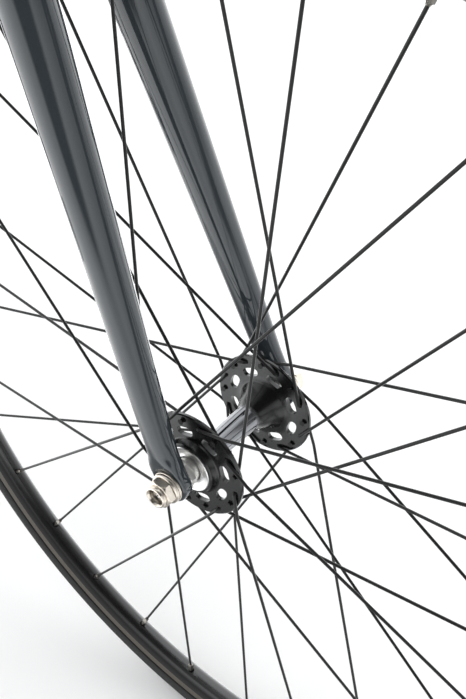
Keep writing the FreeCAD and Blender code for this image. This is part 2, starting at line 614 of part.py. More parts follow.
def cone_set(name, y_ball, y_drop, bore, r_cone, hex_flat, rot=0.0):
    """A cone, a keyed washer and a hexagonal locknut on one side (negative y)."""
    c = wheel_turned(name + "_cone", [(bore, -(y_ball - 3.5)), (bore + 0.9, -(y_ball - 3.5)), (r_cone - 1.4, -(y_ball + 1.4)), (r_cone, -(y_ball + 3.2)),
                                      (r_cone, -(y_drop - 6.3)), (bore, -(y_drop - 6.3))])
    w = wheel_turned(name + "_washer", [(bore, -(y_drop - 6.3)), (r_cone + 0.9, -(y_drop - 6.3)), (r_cone + 0.9, -(y_drop - 4.9)), (bore, -(y_drop - 4.9))])
    h = body(name + "_locknut")
    rad = hex_flat / math.cos(math.pi / 6)
    sk = poly(h, "XZ_Plane", [(rad * math.cos(math.radians(60 * k + rot)), rad * math.sin(math.radians(60 * k + rot))) for k in range(6)], name="hexagon")
    pad(h, sk, 4.9, midplane=True)
    hole = disc(h, "XZ_Plane", [(0, 0, bore)])
    doc.recompute()
    p = h.newObject("PartDesign::Pocket", name + "_bore")
    p.Profile = hole
    p.Type = 1
    p.Midplane = True
    h.Tip = p
    h.Placement = Placement(V(0, -(y_drop - 2.45), 0), Rotation())
    trim = wheel_turned(name + "_nut_round", [(0, -y_drop + 0.0), (hex_flat + 0.55, -y_drop + 0.0), (hex_flat + 1.25, -y_drop + 0.9),
                                               (hex_flat + 1.25, -y_drop + 4.0), (hex_flat + 0.55, -y_drop + 4.9), (0, -y_drop + 4.9)])
    nut = common(name + "_nut", h, trim)
    return [c, w, nut]


rc = cone_set("rear_set_right", 33.0, NUM["rear_drop_half"], d("rear_axle_r") + 0.05, NUM["cone_r"] + 0.6, 8.5)
rcg = group("rear_cones_right", *rc)
rcl = mirrored("rear_cones_left", rcg)
rear_cones = group("rear_cones", rcg, rcl)
rear_cones.Placement = Placement(REAR, Rotation())
node(rear_cones, "rear_cones")


def axle_nut(name, y0, y_hex, y_nose, y_end, bore, flat, washer, nose, spin):
    """A flanged track nut with a round nose, on the negative y side."""
    h = body(name + "_hex")
    rad = flat / math.cos(math.pi / 6)
    sk = poly(h, "XZ_Plane", [(rad * math.cos(math.radians(60 * k + spin)), rad * math.sin(math.radians(60 * k + spin))) for k in range(6)], name="hexagon")
    pad(h, sk, y_nose - y_hex + 0.6, midplane=True)
    h.Placement = Placement(V(0, -(y_nose + y_hex) / 2, 0), Rotation())
    lim = wheel_turned(name + "_hex_round", [(0, -y_hex), (rad, -y_hex), (rad, -(y_nose - 1.3)), (flat + 0.3, -y_nose), (0, -y_nose)])
    hexed = common(name + "_hexed", h, lim)
    bodyw = wheel_turned(name + "_flange", [(0, -y0), (q(washer), -y0), (q(washer), -(y0 + 1.5)), (q(washer) - 0.5, -(y0 + 2.0)), (q(washer) - 1.0, -(y0 + 2.0)),
                                            (q(washer) - 1.0, -(y0 + 2.5)), (q(washer) - 0.6, -(y0 + 2.7)), (q(washer) - 0.6, -(y0 + 3.4)),
                                            (q(washer) - 1.6, -(y0 + 4.3)), (0, -(y0 + 4.3))])
    nosew = wheel_turned(name + "_nose", [(0, -(y_nose - 2.0)), (q(nose) - 0.5, -(y_nose - 2.0)), (q(nose) - 0.5, -(y_nose + 0.6)), (q(nose), -(y_nose + 1.0)),
                                          (q(nose), -(y_end - 1.0)), (q(nose) - 0.8, -y_end), (0, -y_end)])
    hole = wheel_turned(name + "_hole", [(0, -(y0 - 1.0)), (q(bore), -(y0 - 1.0)), (q(bore), -(y_end - 0.7)), (q(bore) + 0.9, -(y_end + 0.2)), (0, -(y_end + 0.2))])
    return cut(name, fuse(name + "_whole", hexed, bodyw, nosew), hole)


rn = axle_nut("rear_nut_right", NUM["rear_drop_out"], 71.2, 74.2, NUM["rear_nut_end"], d("rear_nut_bore"), 7.5, 11.9, 6.9, 10.0)
rnl = mirrored("rear_nut_left", rn)
rear_nuts = group("rear_axle_nuts", rn, rnl)
rear_nuts.Placement = Placement(REAR, Rotation())
node(rear_nuts, "rear_axle_nuts")

# =========================== chain ===================================================
RBIG, RSMALL = pitch_radius(RING_T), pitch_radius(COG_T)
GAM = math.asin((RBIG - RSMALL) / CS)
base_dir = math.atan2(REAR.z - BB.z, REAR.x - BB.x)     # from the crank axis to the rear axle


def chain_point(u):
    """Position in the chain plane at u pitches from where the top run leaves the chainring."""
    u = u % LINKS
    s_len = CS * math.cos(GAM) / PITCH
    wrap_small = COG_T * (math.pi - 2 * GAM) / (2 * math.pi)
    # unit vectors: along the stay, and at right angles to it (upper side)
    ex = (math.cos(base_dir), math.sin(base_dir))
    ey = (math.sin(base_dir), -math.cos(base_dir))
    a0 = math.pi / 2 - GAM                                # angle from ex towards ey of the tangent points
    def at(c, r, a):
        return (c.x + r * (math.cos(a) * ex[0] + math.sin(a) * ey[0]), c.z + r * (math.cos(a) * ex[1] + math.sin(a) * ey[1]))
    if u < s_len:
        p, w = at(BB, RBIG, a0), at(REAR, RSMALL, a0)
        f = u / s_len
        return (p[0] + (w[0] - p[0]) * f, p[1] + (w[1] - p[1]) * f)
    u -= s_len
    if u < wrap_small:
        return at(REAR, RSMALL, a0 - u * 2 * math.pi / COG_T)
    u -= wrap_small
    if u < s_len:
        p, w = at(REAR, RSMALL, -a0), at(BB, RBIG, -a0)
        f = u / s_len
        return (p[0] + (w[0] - p[0]) * f, p[1] + (w[1] - p[1]) * f)
    u -= s_len
    return at(BB, RBIG, -a0 - u * 2 * math.pi / RING_T)


ROLLERS = [chain_point(k) for k in range(LINKS)]
CY = -NUM["chainline"]
links = []


def plate(p0, p1, y0, thick, r, waist):
    """A figure-of-eight side plate between two pins, lying in the chain plane."""
    dx, dz = p1[0] - p0[0], p1[1] - p0[1]
    ang = math.degrees(math.atan2(dz, dx))
    length = math.hypot(dx, dz)
    k = r * 0.70710678
    arcs = [Part.Arc(V(k, k, 0), V(-r, 0, 0), V(k, -k, 0)).toShape(),
            Part.Arc(V(k, -k, 0), V(length / 2, -waist, 0), V(length - k, -k, 0)).toShape(),
            Part.Arc(V(length - k, -k, 0), V(length + r, 0, 0), V(length - k, k, 0)).toShape(),
            Part.Arc(V(length - k, k, 0), V(length / 2, waist, 0), V(k, k, 0)).toShape()]
    f = Part.Face(Part.Wire(arcs)).extrude(V(0, 0, thick))
    # local X along the link, local Z to -Y
    f.Placement = Placement(V(p0[0], y0 + thick, p0[1]), Rotation(V(0, 1, 0), -ang).multiply(Rotation(V(1, 0, 0), 90)))
    return f


for k in range(LINKS):
    p0, p1 = ROLLERS[k], ROLLERS[(k + 1) % LINKS]
    if k % 2 == 0:                                        # inner link: two plates and two rollers
        rollers = [Part.makeCylinder(3.8, 3.1, V(p[0], CY - 1.55, p[1]), V(0, 1, 0)) for p in (p0, p1)]
        links.append(Part.makeCompound([plate(p0, p1, CY - 2.55, 1.0, 4.0, 3.1), plate(p0, p1, CY + 1.55, 1.0, 4.0, 3.1)] + rollers))
    else:                                                 # outer link: two plates and two pins
        links.append(Part.makeCompound([plate(p0, p1, CY - 3.6, 1.0, 4.0, 3.1), plate(p0, p1, CY + 2.6, 1.0, 4.0, 3.1)]))
        for p, y in [(p, y) for p in (p0, p1) for y in (CY - 4.1, CY + 3.6)]:
            links.append(Part.makeCylinder(1.7, 0.5, V(p[0], y, p[1]), V(0, 1, 0)))
node(solid("chain", Part.makeCompound(links)), "chain")

# =========================== fork =====================================================
steer = post_turned("fork_steerer", [(d("steerer_bore"), 0), (d("steerer_r"), 0), (d("steerer_r"), 206.0), (d("steerer_bore"), 206.0)])
steer.Placement = fork_at(CT)
node(steer, "fork_steerer")
crown = body("fork_crown_block")
hx, hy = d("crown_half_x"), d("crown_half_y")
cr_pts = []
for cxs, cys in ((1, 1), (-1, 1), (-1, -1), (1, -1)):
    quarter = []
    for a in range(0, 91, 15):
        quarter.append((q(cxs) * (hx * math.cos(math.radians(a))), q(cys) * (hy - hx + hx * math.sin(math.radians(a)))))
    cr_pts += quarter if cxs * cys > 0 else quarter[::-1]
pts_clean = []
for p in cr_pts:
    if not pts_clean or (abs(p[0].n - pts_clean[-1][0].n) + abs(p[1].n - pts_clean[-1][1].n)) > 1e-6:
        pts_clean.append(p)
if abs(pts_clean[0][0].n - pts_clean[-1][0].n) + abs(pts_clean[0][1].n - pts_clean[-1][1].n) < 1e-6:
    pts_clean.pop()
cr_sk = poly(crown, "XY_Plane", pts_clean, name="plan")
pad(crown, cr_sk, d("crown_deep"))
crown.Placement = fork_at(CT - NUM["crown_deep"])
arch = cylinder("crown_arch", 26.0, 60.0, fork_at(CT - NUM["crown_deep"] - 17.0, -RAKE - 30.0).multiply(Placement(V(0, 0, 0), Rotation(V(0, 1, 0), 90))))
race = cone("crown_race", 17.0, 16.4, 4.0, fork_at(CT))
race_hole = cylinder("race_hole", d("steerer_r") + 0.02, 20.0, fork_at(CT))
brake_bore = cylinder("brake_bore", 3.1, 80.0, fork_at(CT - 11.5, -RAKE - 40.0).multiply(Placement(V(0, 0, 0), Rotation(V(0, 1, 0), 90))))
node(cut("fork_crown", fuse("crown_whole", crown, cut("race_ring", race, race_hole)), arch, brake_bore), "fork_crown")

# blades: straight, oval and tapered, running into flat rounded tips
bl_rows = [(2.0, -0.6, 53.5, 12.9, 3.1), (10.0, -1.3, 53.5, 12.2, 4.0), (18.0, -2.05, 53.6, 10.9, 6.2), (30.0, -3.1, 53.4, 9.85, 8.0), (60.0, -5.9, 51.1, 10.6, 8.95),
           (100.0, -9.5, 47.95, 11.6, 10.15), (150.0, -14.0, 44.0, 12.85, 11.7), (205.0, -19.0, 39.7, 14.25, 13.35), (262.0, -24.15, 35.4, 15.7, 14.9),
           (310.0, -28.9, 33.0, 16.6, 15.6), (CT - NUM["crown_deep"], -33.2, 32.4, 17.1, 15.6)]
bl_secs = [ellipse("blade_s%d" % i, a, c, fork_at(z, x, -y)) for i, (z, x, y, a, c) in enumerate(bl_rows)]
tip = wheel_turned("tip_disc", [(0, -50.0), (12.9, -50.0), (13.7, -50.8), (13.7, -56.2), (12.9, -57.0), (0, -57.0)])
tip.Placement = Placement(FRONT, Rotation())
spot_out = cylinder("spot_out", d("washer_r") + 0.9, 20.0, Placement(FRONT + V(0, -77.0, 0), ALONG_Y))
spot_in = cylinder("spot_in", 11.2, 20.0, Placement(FRONT + V(0, -50.0, 0), ALONG_Y))
tip_slot = box("tip_slot", 9.2, 30.0, 40.0, FORK.multiply(Placement(V(0, -53.5, -20.0), Rotation())))
tip_hole = cylinder("tip_hole", 4.6, 30.0, Placement(FRONT + V(0, -70.0, 0), ALONG_Y))
hollow_rows = [r for r in bl_rows if 50.0 < r[0] < 320.0]
hollow = loft("blade_hollow", [ellipse("blade_h%d" % i, a - 1.6, c - 1.6, fork_at(z, x, -y)) for i, (z, x, y, a, c) in enumerate(hollow_rows)])
blade_r = cut("fork_blade_right", cut("blade_pipe", fuse("blade_whole", loft("blade_loft", bl_secs), tip), spot_out, spot_in, tip_hole, tip_slot), hollow)
blade_l = mirrored("fork_blade_left", blade_r)
node(group("fork_blades", blade_r, blade_l), "fork_blades")

# headset bearings, top cover and spacers
b_low = post_turned("bearing_low", [(d("bearing_in"), -9.6), (d("bearing_out") - 0.8, -9.6), (d("bearing_out") - 0.04, -8.8), (d("bearing_out") - 0.04, -2.4),
                                    (d("bearing_in"), -2.4)])
b_low.Placement = fork_at(HT0)
b_low_c = cut("bearing_lower", b_low, cone("bearing_seat", 17.3, 16.45, 5.0, fork_at(CT)))
b_up = post_turned("bearing_up", [(d("bearing_in"), 2.4), (d("bearing_out") - 0.04, 2.4), (d("bearing_out") - 0.04, 8.8), (d("bearing_out") - 0.8, 9.6),
                                  (d("bearing_in"), 9.6)])
b_up.Placement = fork_at(HT1)
node(group("headset_bearings", b_low_c, b_up), "headset_bearings")
cover = post_turned("headset_cover", [(d("steerer_r") + 0.05, 9.7), (d("bearing_out") - 1.4, 9.7), (d("bearing_out") - 1.4, 11.0), (d("cup_r") - 0.2, 11.0),
                                      (d("cup_r") - 0.4, 12.6), (d("spacer_r") + 1.2, 16.4), (d("spacer_r"), 17.0), (d("steerer_r") + 0.05, 17.0)])
cover.Placement = fork_at(HT1)
spacer_objs = []
for i in range(2):
    z0 = 17.0 + 5.0 * i
    sp_ = post_turned("spacer_%d" % i, [(d("steerer_r") + 0.05, z0 + 0.05), (d("spacer_r") - 0.4, z0 + 0.05), (d("spacer_r"), z0 + 0.45),
                                        (d("spacer_r"), z0 + 4.6), (d("spacer_r") - 0.4, z0 + 5.0), (d("steerer_r") + 0.05, z0 + 5.0)])
    sp_.Placement = fork_at(HT1)
    spacer_objs.append(sp_)
node(group("headset_spacers", cover, *spacer_objs), "headset_spacers")

# stem, faceplate, bolts and top cap
ST0 = HT1 + 27.1
ST1 = ST0 + NUM["stem_high"]
STM = (ST0 + ST1) / 2.0
ang = math.radians(7.0)
CLAMP_X = -RAKE + NUM["stem_reach"] * math.cos(ang)
CLAMP_Z = STM - NUM["stem_reach"] * math.sin(ang)
stem_post = post_turned("stem_post", [(0, ST0), (d("stem_r") - 1.0, ST0), (d("stem_r"), ST0 + 1.2), (d("stem_r"), ST1 - 1.2), (d("stem_r") - 1.0, ST1), (0, ST1)])
stem_post.Placement = fork_at(0)
arm_p0, arm_p1 = fk_pt(-RAKE, 0, STM), fk_pt(CLAMP_X, 0, CLAMP_Z)
arm_dir = (arm_p1 - arm_p0).normalize()
arm = cylinder("stem_arm", d("stem_bar_r"), d("stem_reach") - 6.0, along(arm_p0, arm_p1))
CLAMP = FORK.multiply(Placement(V(CLAMP_X, 0, CLAMP_Z), Rotation(V(0, 1, 0), 7.0)))      # clamp frame: X along the arm
clamp_ring = cylinder("clamp_ring", d("clamp_r"), d("clamp_half") * 2.0, CLAMP.multiply(Placement(V(0, -NUM["clamp_half"], 0), ALONG_Y)))
clamp_hole = cylinder("clamp_hole", d("clamp_bore"), d("clamp_half") * 2.0 + 30.0, CLAMP.multiply(Placement(V(0, -NUM["clamp_half"] - 15, 0), ALONG_Y)))
front_half = box("front_half", 60.0, 90.0, 90.0, CLAMP.multiply(Placement(V(30.6, 0, 0), Rotation())))
steer_hole = cylinder("stem_steer_hole", d("steerer_r") + 0.03, 80.0, fork_at(ST0 - 20.0))
back_slit = box("stem_slit", 30.0, 1.8, 80.0, fork_at(STM, -RAKE - 15.0))
stem_ears = box("stem_ears", 10.0, 22.0, 34.0, fork_at(STM, -RAKE - 20.5))
ear_holes = [cylinder("stem_ear_hole%d" % i, 2.6, 40.0, fork_at(STM + s * 10.0, -RAKE - 22.2, -20.0).multiply(Placement(V(0, 0, 0), ALONG_Y)))
             for i, s in enumerate((-1, 1))]
bolt_xy = [(sy * 15.5, sz * 18.4) for sy in (-1, 1) for sz in (-1, 1)]
face_lugs = [cylinder("face_lug%d" % i, 5.2, 17.0, CLAMP.multiply(Placement(V(-8.0, y, z), Rotation(V(0, 1, 0), 90)))) for i, (y, z) in enumerate(bolt_xy)]
face_holes = [cylinder("face_hole%d" % i, 2.6, 60.0, CLAMP.multiply(Placement(V(-14.0, y, z), Rotation(V(0, 1, 0), 90)))) for i, (y, z) in enumerate(bolt_xy)]
stem_raw = fuse("stem_whole", stem_post, arm, clamp_ring, stem_ears, *face_lugs)
stem_cut = cut("stem", stem_raw, clamp_hole, front_half, steer_hole, back_slit, *(face_holes + ear_holes))
node(stem_cut, "stem")
fp_ring = cylinder("fp_ring", d("clamp_r"), d("clamp_half") * 2.0, CLAMP.multiply(Placement(V(0, -NUM["clamp_half"], 0), ALONG_Y)))
fp_lugs = [cylinder("fp_lug%d" % i, 5.2, 8.4, CLAMP.multiply(Placement(V(2.2, y, z), Rotation(V(0, 1, 0), 90)))) for i, (y, z) in enumerate(bolt_xy)]
back_half = box("back_half", 60.0, 90.0, 90.0, CLAMP.multiply(Placement(V(-27.8, 0, 0), Rotation())))
fp_hole = cylinder("fp_hole", d("clamp_bore"), d("clamp_half") * 2.0 + 30.0, CLAMP.multiply(Placement(V(0, -NUM["clamp_half"] - 15, 0), ALONG_Y)))
fp_window = box("fp_window", 60.0, 18.0, 22.0, CLAMP.multiply(Placement(V(30.0, 0, 0), Rotation())))
fp_holes = [cylinder("fp_bore%d" % i, 2.6, 60.0, CLAMP.multiply(Placement(V(-14.0, y, z), Rotation(V(0, 1, 0), 90)))) for i, (y, z) in enumerate(bolt_xy)]
fp_spots = [cylinder("fp_spot%d" % i, 5.4, 20.0, CLAMP.multiply(Placement(V(10.4, y, z), Rotation(V(0, 1, 0), 90)))) for i, (y, z) in enumerate(bolt_xy)]
node(cut("stem_faceplate", fuse("fp_whole", fp_ring, *fp_lugs), fp_hole, back_half, fp_window, *(fp_holes + fp_spots)), "stem_faceplate")
sb = []
for i, (y, z) in enumerate(bolt_xy):
    b_ = post_turned("face_bolt%d" % i, [(0, -12.0), (2.5, -12.0), (2.5, 10.42), (4.2, 10.42), (4.2, 14.4), (3.8, 15.0), (1.9, 15.0), (1.9, 12.4), (0, 12.4)])
    b_.Placement = CLAMP.multiply(Placement(V(0, y, z), Rotation(V(0, 1, 0), 90)))
    sb.append(b_)
for i, s in enumerate((-1, 1)):
    b_ = wheel_turned("ear_bolt%d" % i, [(0, -15.4), (1.9, -15.4 + 0), (3.8, -15.4), (4.2, -14.8), (4.2, -11.0), (2.5, -11.0), (2.5, 11.0), (0, 11.0)])
    b_.Placement = fork_at(STM + s * 10.0, -RAKE - 22.2)
    sb.append(b_)
node(group("stem_bolts", *sb), "stem_bolts")
cap = post_turned("top_cap", [(0, ST1 + 0.05), (d("stem_r") - 0.8, ST1 + 0.05), (d("stem_r") - 0.6, ST1 + 1.0), (d("stem_r") - 2.4, ST1 + 4.6), (5.4, ST1 + 5.6),
                              (5.4, ST1 + 2.6), (0, ST1 + 2.6)])
cap.Placement = fork_at(0)
cap_bolt = post_turned("top_cap_bolt", [(0, ST1 + 2.65), (5.0, ST1 + 2.65), (5.0, ST1 + 5.4), (4.2, ST1 + 6.4), (2.4, ST1 + 6.4), (2.4, ST1 + 4.0), (0, ST1 + 4.0)])
cap_bolt.Placement = fork_at(0)
node(group("top_cap", cap, cap_bolt), "top_cap")

# handlebar: a track drop, level at the rest pose, swept from straight runs and arcs
BAR = Placement(CLAMP.Base, Rotation(V(0, 1, 0), 4.0))


def bar_pts(s, start=0.0):
    pts = [(0, s * start, 0), (0, s * 150.0, 0), (8, s * 192.0, -2), (62, s * 196.0, -12), (112, s * 197.0, -42), (112, s * 198.0, -104), (62, s * 199.0, -134), (-46, s * 200.0, -140)]
    return [BAR.multVec(V(*p)) for p in pts]


BAR_R = [26.0, 30.0, 38.0, 40.0, 40.0, 40.0]
halves_out, halves_in = [], []
for i, s in enumerate((-1, 1)):
    halves_out.append(pipe_object("bar_out%d" % i, bar_pts(s, 20.0), BAR_R, d("bar_r")))
    halves_in.append(pipe_object("bar_in%d" % i, bar_pts(s, 20.0), BAR_R, d("bar_bore")))
mid_out = wheel_turned("bar_mid", [(0, -48.0), (d("bar_r"), -48.0), (d("bar_mid_r"), -28.0), (d("bar_mid_r"), 28.0), (d("bar_r"), 48.0), (0, 48.0)])
mid_out.Placement = BAR
mid_in = cylinder("bar_mid_in", d("bar_bore"), 60.0, BAR.multiply(Placement(V(0, -30.0, 0), ALONG_Y)))
node(cut("handlebar", fuse("bar_whole", mid_out, *halves_out), mid_in, *halves_in), "handlebar")
tapes = []
for i, s in enumerate((-1, 1)):
    t_out = pipe_object("tape_out%d" % i, bar_pts(s, 78.0), BAR_R, d("tape_r"))
    t_in = pipe_object("tape_in%d" % i, bar_pts(s, 70.0), BAR_R, d("tape_bore"))
    tapes.append(cut("tape_%d" % i, t_out, t_in))
node(group("bar_tape", *tapes), "bar_tape")
plugs = []
for i, s in enumerate((-1, 1)):
    pts = bar_pts(s)
    dirn = (pts[-1] - pts[-2]).normalize()
    pl = post_turned("plug_%d" % i, [(0, -14.0), (d("bar_bore") - 0.4, -14.0), (d("bar_bore") - 0.1, -12.0), (d("bar_bore") - 0.1, 0.05), (d("tape_r") - 0.4, 0.05),
                                     (d("tape_r") - 0.4, 1.2), (d("tape_r") - 2.6, 3.6), (5.0, 4.6), (0, 4.8)])
    pl.Placement = Placement(pts[-1], Rotation(V(0, 0, 1), dirn))
    plugs.append(pl)
node(group("bar_end_plugs", *plugs), "bar_end_plugs")

# front axle, cones and nuts, held by the fork tips
fa = wheel_turned("front_axle", [(0, -d("axle_half")), (d("axle_r") - 0.6, -d("axle_half")), (d("axle_r"), -d("axle_half") + 0.6), (d("axle_r"), d("axle_half") - 0.6),
                                 (d("axle_r") - 0.6, d("axle_half")), (0, d("axle_half"))])
fa.Placement = Placement(FRONT, Rotation())
node(fa, "front_axle")
fc = cone_set("front_set_right", 36.6, NUM["drop_half"], d("axle_r") + 0.05, NUM["cone_r"], 8.5, 12.0)
fcg = group("front_cones_right", *fc)
fcl = mirrored("front_cones_left", fcg)
front_cones = group("front_cones", fcg, fcl)
front_cones.Placement = Placement(FRONT, Rotation())
node(front_cones, "front_cones")
fn = axle_nut("front_nut_right", NUM["drop_out"], 61.2, 67.2, NUM["nut_end"], d("nut_bore"), NUM["nut_flat"], d("washer_r"), d("nose_r"), 22.0)
fnl = mirrored("front_nut_left", fn)
front_nuts = group("front_axle_nuts", fn, fnl)
front_nuts.Placement = Placement(FRONT, Rotation())
node(front_nuts, "front_axle_nuts")

# =========================== wheels ======================================================
PHI = 36.80                                # angle of the first spoke hole of the right flange, from +X towards +Z
STEP = 22.5


def flange_cuts(b, side, hole_turn, slot_turn):
    """Sixteen spoke holes and eight lightening slots through one flange; side is -1 (right) or +1 (left)."""
    def spin(deg):
        return Placement(V(0, 0, 0), Rotation(V(0, 0, 1), deg))
    sk = disc(b, "XZ_Plane", [(d("spoke_circle"), 0, d("spoke_hole"))], name="spoke_hole", offset=spin(hole_turn))
    p = pocket(b, sk, None, reverse=side < 0)
    around(b, p, "Y_Axis", 16)
    pts = []
    for k in range(20):                                   # a rounded oval, longer round the hub than across it
        t = 2.0 * math.pi * (k + 0.5) / 20.0
        ct, st = math.cos(t), math.sin(t)
        r = 24.4 + 3.1 * math.copysign(abs(ct) ** 0.75, ct)
        a = math.radians(14.2 * math.copysign(abs(st) ** 0.75, st))
        pts.append((r * math.cos(a), r * math.sin(a)))
    sk2 = poly(b, "XZ_Plane", pts, name="flange_slot", offset=spin(slot_turn))
    p2 = pocket(b, sk2, None, reverse=side < 0)
    around(b, p2, "Y_Axis", 8)


def hub_profile(fy, ft, boss_end, boss):
    """Half section of the hub shell, as (radius, y), from the right end to the left."""
    bar, cone_r, fr = d("hub_barrel_r"), d("hub_cone_r"), d("flange_r")
    half = ft / 2.0
    out = [(boss - 1.2, boss_end), (boss - 0.4, boss_end - 0.8), (boss, boss_end - 2.2), (boss + 1.0, fy + half + 0.5), (boss + 1.8, fy + half), (fr - 0.7, fy + half),
           (fr, fy + half - 0.7), (fr, fy - half + 0.7), (fr - 0.7, fy - half), (cone_r + 1.6, fy - half), (cone_r, fy - half - 0.7), (cone_r - 2.6, fy - half - 4.5),
           (bar + 3.4, fy - half - 10.5), (bar + 1.0, fy - half - 15.0), (bar, fy - half - 18.0)]
    return out


def hub_shell(name, fy, boss_end, thread):
    fyq, ft = q(fy), d("flange_thick")
    side = hub_profile(fyq, ft, q(boss_end), d("boss_r") if thread else d("front_boss_r"))
    bore, race = d("axle_r") + 1.6, d("race_r")
    # the left half from its open end inwards, then the right half mirrored
    left = [(race, q(boss_end) - 2.2), (d("cap_r"), q(boss_end) - 2.2), (d("cap_r"), q(boss_end))] + side
    if thread:
        left = [(race, q(boss_end) - 2.2), (9.3, q(boss_end) - 2.2), (9.3, q(boss_end) - 0.9), (d("cap_r"), q(boss_end) - 0.9), (d("cap_r"), q(boss_end))] + side
    right = [(r, -y) for r, y in left[::-1]]
    if thread:
        # the cog and lockring sit on a stepped thread outside the right flange
        flange = [(r, -y) for r, y in side[::-1] if y.n <= (fyq + ft / 2.0).n + 1e-6]
        right = flange + [(d("boss_r") + 0.6, -(fyq + ft / 2.0)), (d("boss_r") + 0.6, -41.4), (d("cog_thread_r"), -41.4), (d("cog_thread_r"), -44.6), (16.4, -44.6),
                          (16.4, -51.0), (9.3, -51.0), (9.3, -49.6), (race, -49.6)]
        inner = [(race, -30.4), (bore + 1.4, -30.4), (bore + 1.4, q(boss_end) - 7.6), (race, q(boss_end) - 7.6)]
    else:
        inner = [(race, -(q(boss_end) - 7.6)), (bore, -(q(boss_end) - 7.6)), (bore, q(boss_end) - 7.6), (race, q(boss_end) - 7.6)]
    return wheel_turned(name, left + right + inner)


fh = hub_shell("front_hub_shell", NUM["flange_y"], NUM["boss_end"], False)
doc.recompute()
flange_cuts(fh, -1, PHI, PHI - STEP)
flange_cuts(fh, 1, PHI + STEP / 2, PHI - STEP / 2)
fh.Placement = Placement(FRONT, Rotation())
node(fh, "front_hub_shell")
cap_l = wheel_turned("dust_cap_left", [(d("cap_hole"), d("boss_end") - 2.1), (d("cap_r") - 0.03, d("boss_end") - 2.1), (d("cap_r") - 0.03, d("boss_end") + 0.2), (d("cap_r") - 0.5, d("boss_end") + 0.5),
                                       (d("cap_r") - 1.3, d("boss_end") + 0.3), (d("cap_r") - 2.2, d("boss_end") - 0.7), (d("cap_hole") + 1.4, d("boss_end") - 1.1), (d("cap_hole"), d("boss_end") - 0.7)])
cap_l.Placement = Placement(FRONT, Rotation())
node(group("front_dust_caps", cap_l, mirrored("dust_cap_right", cap_l)), "front_dust_caps")


def balls(name, at, r, ring, count, ys):
    out = []
    for y in ys:
        for k in range(count):
            a = 2 * math.pi * k / count
            out.append(Part.makeSphere(r, V(ring * math.cos(a), y, ring * math.sin(a))))
    o = solid(name, Part.makeCompound(out))
    o.Placement = Placement(at, Rotation())
    return o


node(balls("front_hub_balls", FRONT, NUM["ball_r"], NUM["ball_ring"], 10, (-36.4, 36.4)), "front_hub_balls")

rh = hub_shell("rear_hub_shell", NUM["rear_flange_y"], NUM["rear_boss_end"], True)
doc.recompute()
flange_cuts(rh, -1, PHI, PHI - STEP)
flange_cuts(rh, 1, PHI + STEP / 2, PHI - STEP / 2)
rh.Placement = Placement(REAR, Rotation())
node(rh, "rear_hub_shell")
node(balls("rear_hub_balls", REAR, NUM["ball_r"], NUM["ball_ring"] + 0.3, 10, (-33.0, 32.1)), "rear_hub_balls")


def spoke_lines(fy, angle0):
    """Every spoke: flange side, hole angle, nipple angle, whether its elbow lies outside the flange."""
    out = []
    for side in (-1, 1):
        for i in range(16):
            a = angle0 + i * STEP + (STEP / 2 if side > 0 else 0)
            s = -1 if i % 2 == 0 else 1
            out.append((side, a, a + s * 3 * STEP, i % 2 == 0))
    return out


def polar(r, deg, y):
    return V(r * math.cos(math.radians(deg)), y, r * math.sin(math.radians(deg)))


def wheel_spokes(name, fy, at):
    shapes, nips = [], []
    sr, rp, ft = NUM["spoke_r"], NUM["spoke_circle"], NUM["flange_thick"]
    for side, a, b, outer in spoke_lines(fy, PHI):
        off = ft / 2 + sr + 0.12
        y_run = side * (fy + off) if outer else side * (fy - off)
        y_head = side * (fy - ft / 2 - 0.9) if outer else side * (fy + ft / 2 + 0.9)
        hole_run, hole_head = polar(rp, a, y_run), polar(rp, a, y_head)
        nip = polar(NUM["rim_bed_r"] + 1.0, b, side * NUM["nipple_side"])
        pts = [hole_head, hole_run, nip]
        if outer:                                         # bent round the edge of the flange
            flat = V(nip.x - hole_run.x, 0, nip.z - hole_run.z).normalize()
            pts.insert(2, hole_run + flat * 19.5)
        wire = run(pts, [1.9, 24.0][:len(pts) - 2])
        sp = pipe(wire, sr)
        hd = (hole_head - hole_run).normalize()
        head = Part.makeCone(1.15, 1.9, 1.0, hole_head - hd * 0.35, hd)
        shapes.append(sp.fuse(head))
        dirn = (pts[-2] - nip).normalize()
        # nipple: a head inside the rim, a round shank through it and a squared end
        sq = Part.makeBox(3.2, 3.2, 4.6)
        sq.Placement = Placement(nip + dirn * 5.6, Rotation(V(0, 0, 1), dirn)).multiply(Placement(V(-1.6, -1.6, 0), Rotation()))
        shank = Part.makeCylinder(NUM["nipple_r"], 6.8, nip - dirn * 1.0, dirn)
        tipc = Part.makeCone(1.75, 1.45, 1.2, nip + dirn * 10.1, dirn)
        headc = Part.makeCone(NUM["nipple_head"], NUM["nipple_r"], 1.6, nip - dirn * 2.6, dirn)
        whole = shank.fuse([sq, tipc, headc])
        nips.append(whole.cut(Part.makeCylinder(sr + 0.02, 40.0, nip - dirn * 20.0, dirn)))
    so = solid(name + "_spokes", Part.makeCompound(shapes))
    so.Placement = Placement(at, Rotation())
    no = solid(name + "_nipples", Part.makeCompound(nips))
    no.Placement = Placement(at, Rotation())
    return so, no


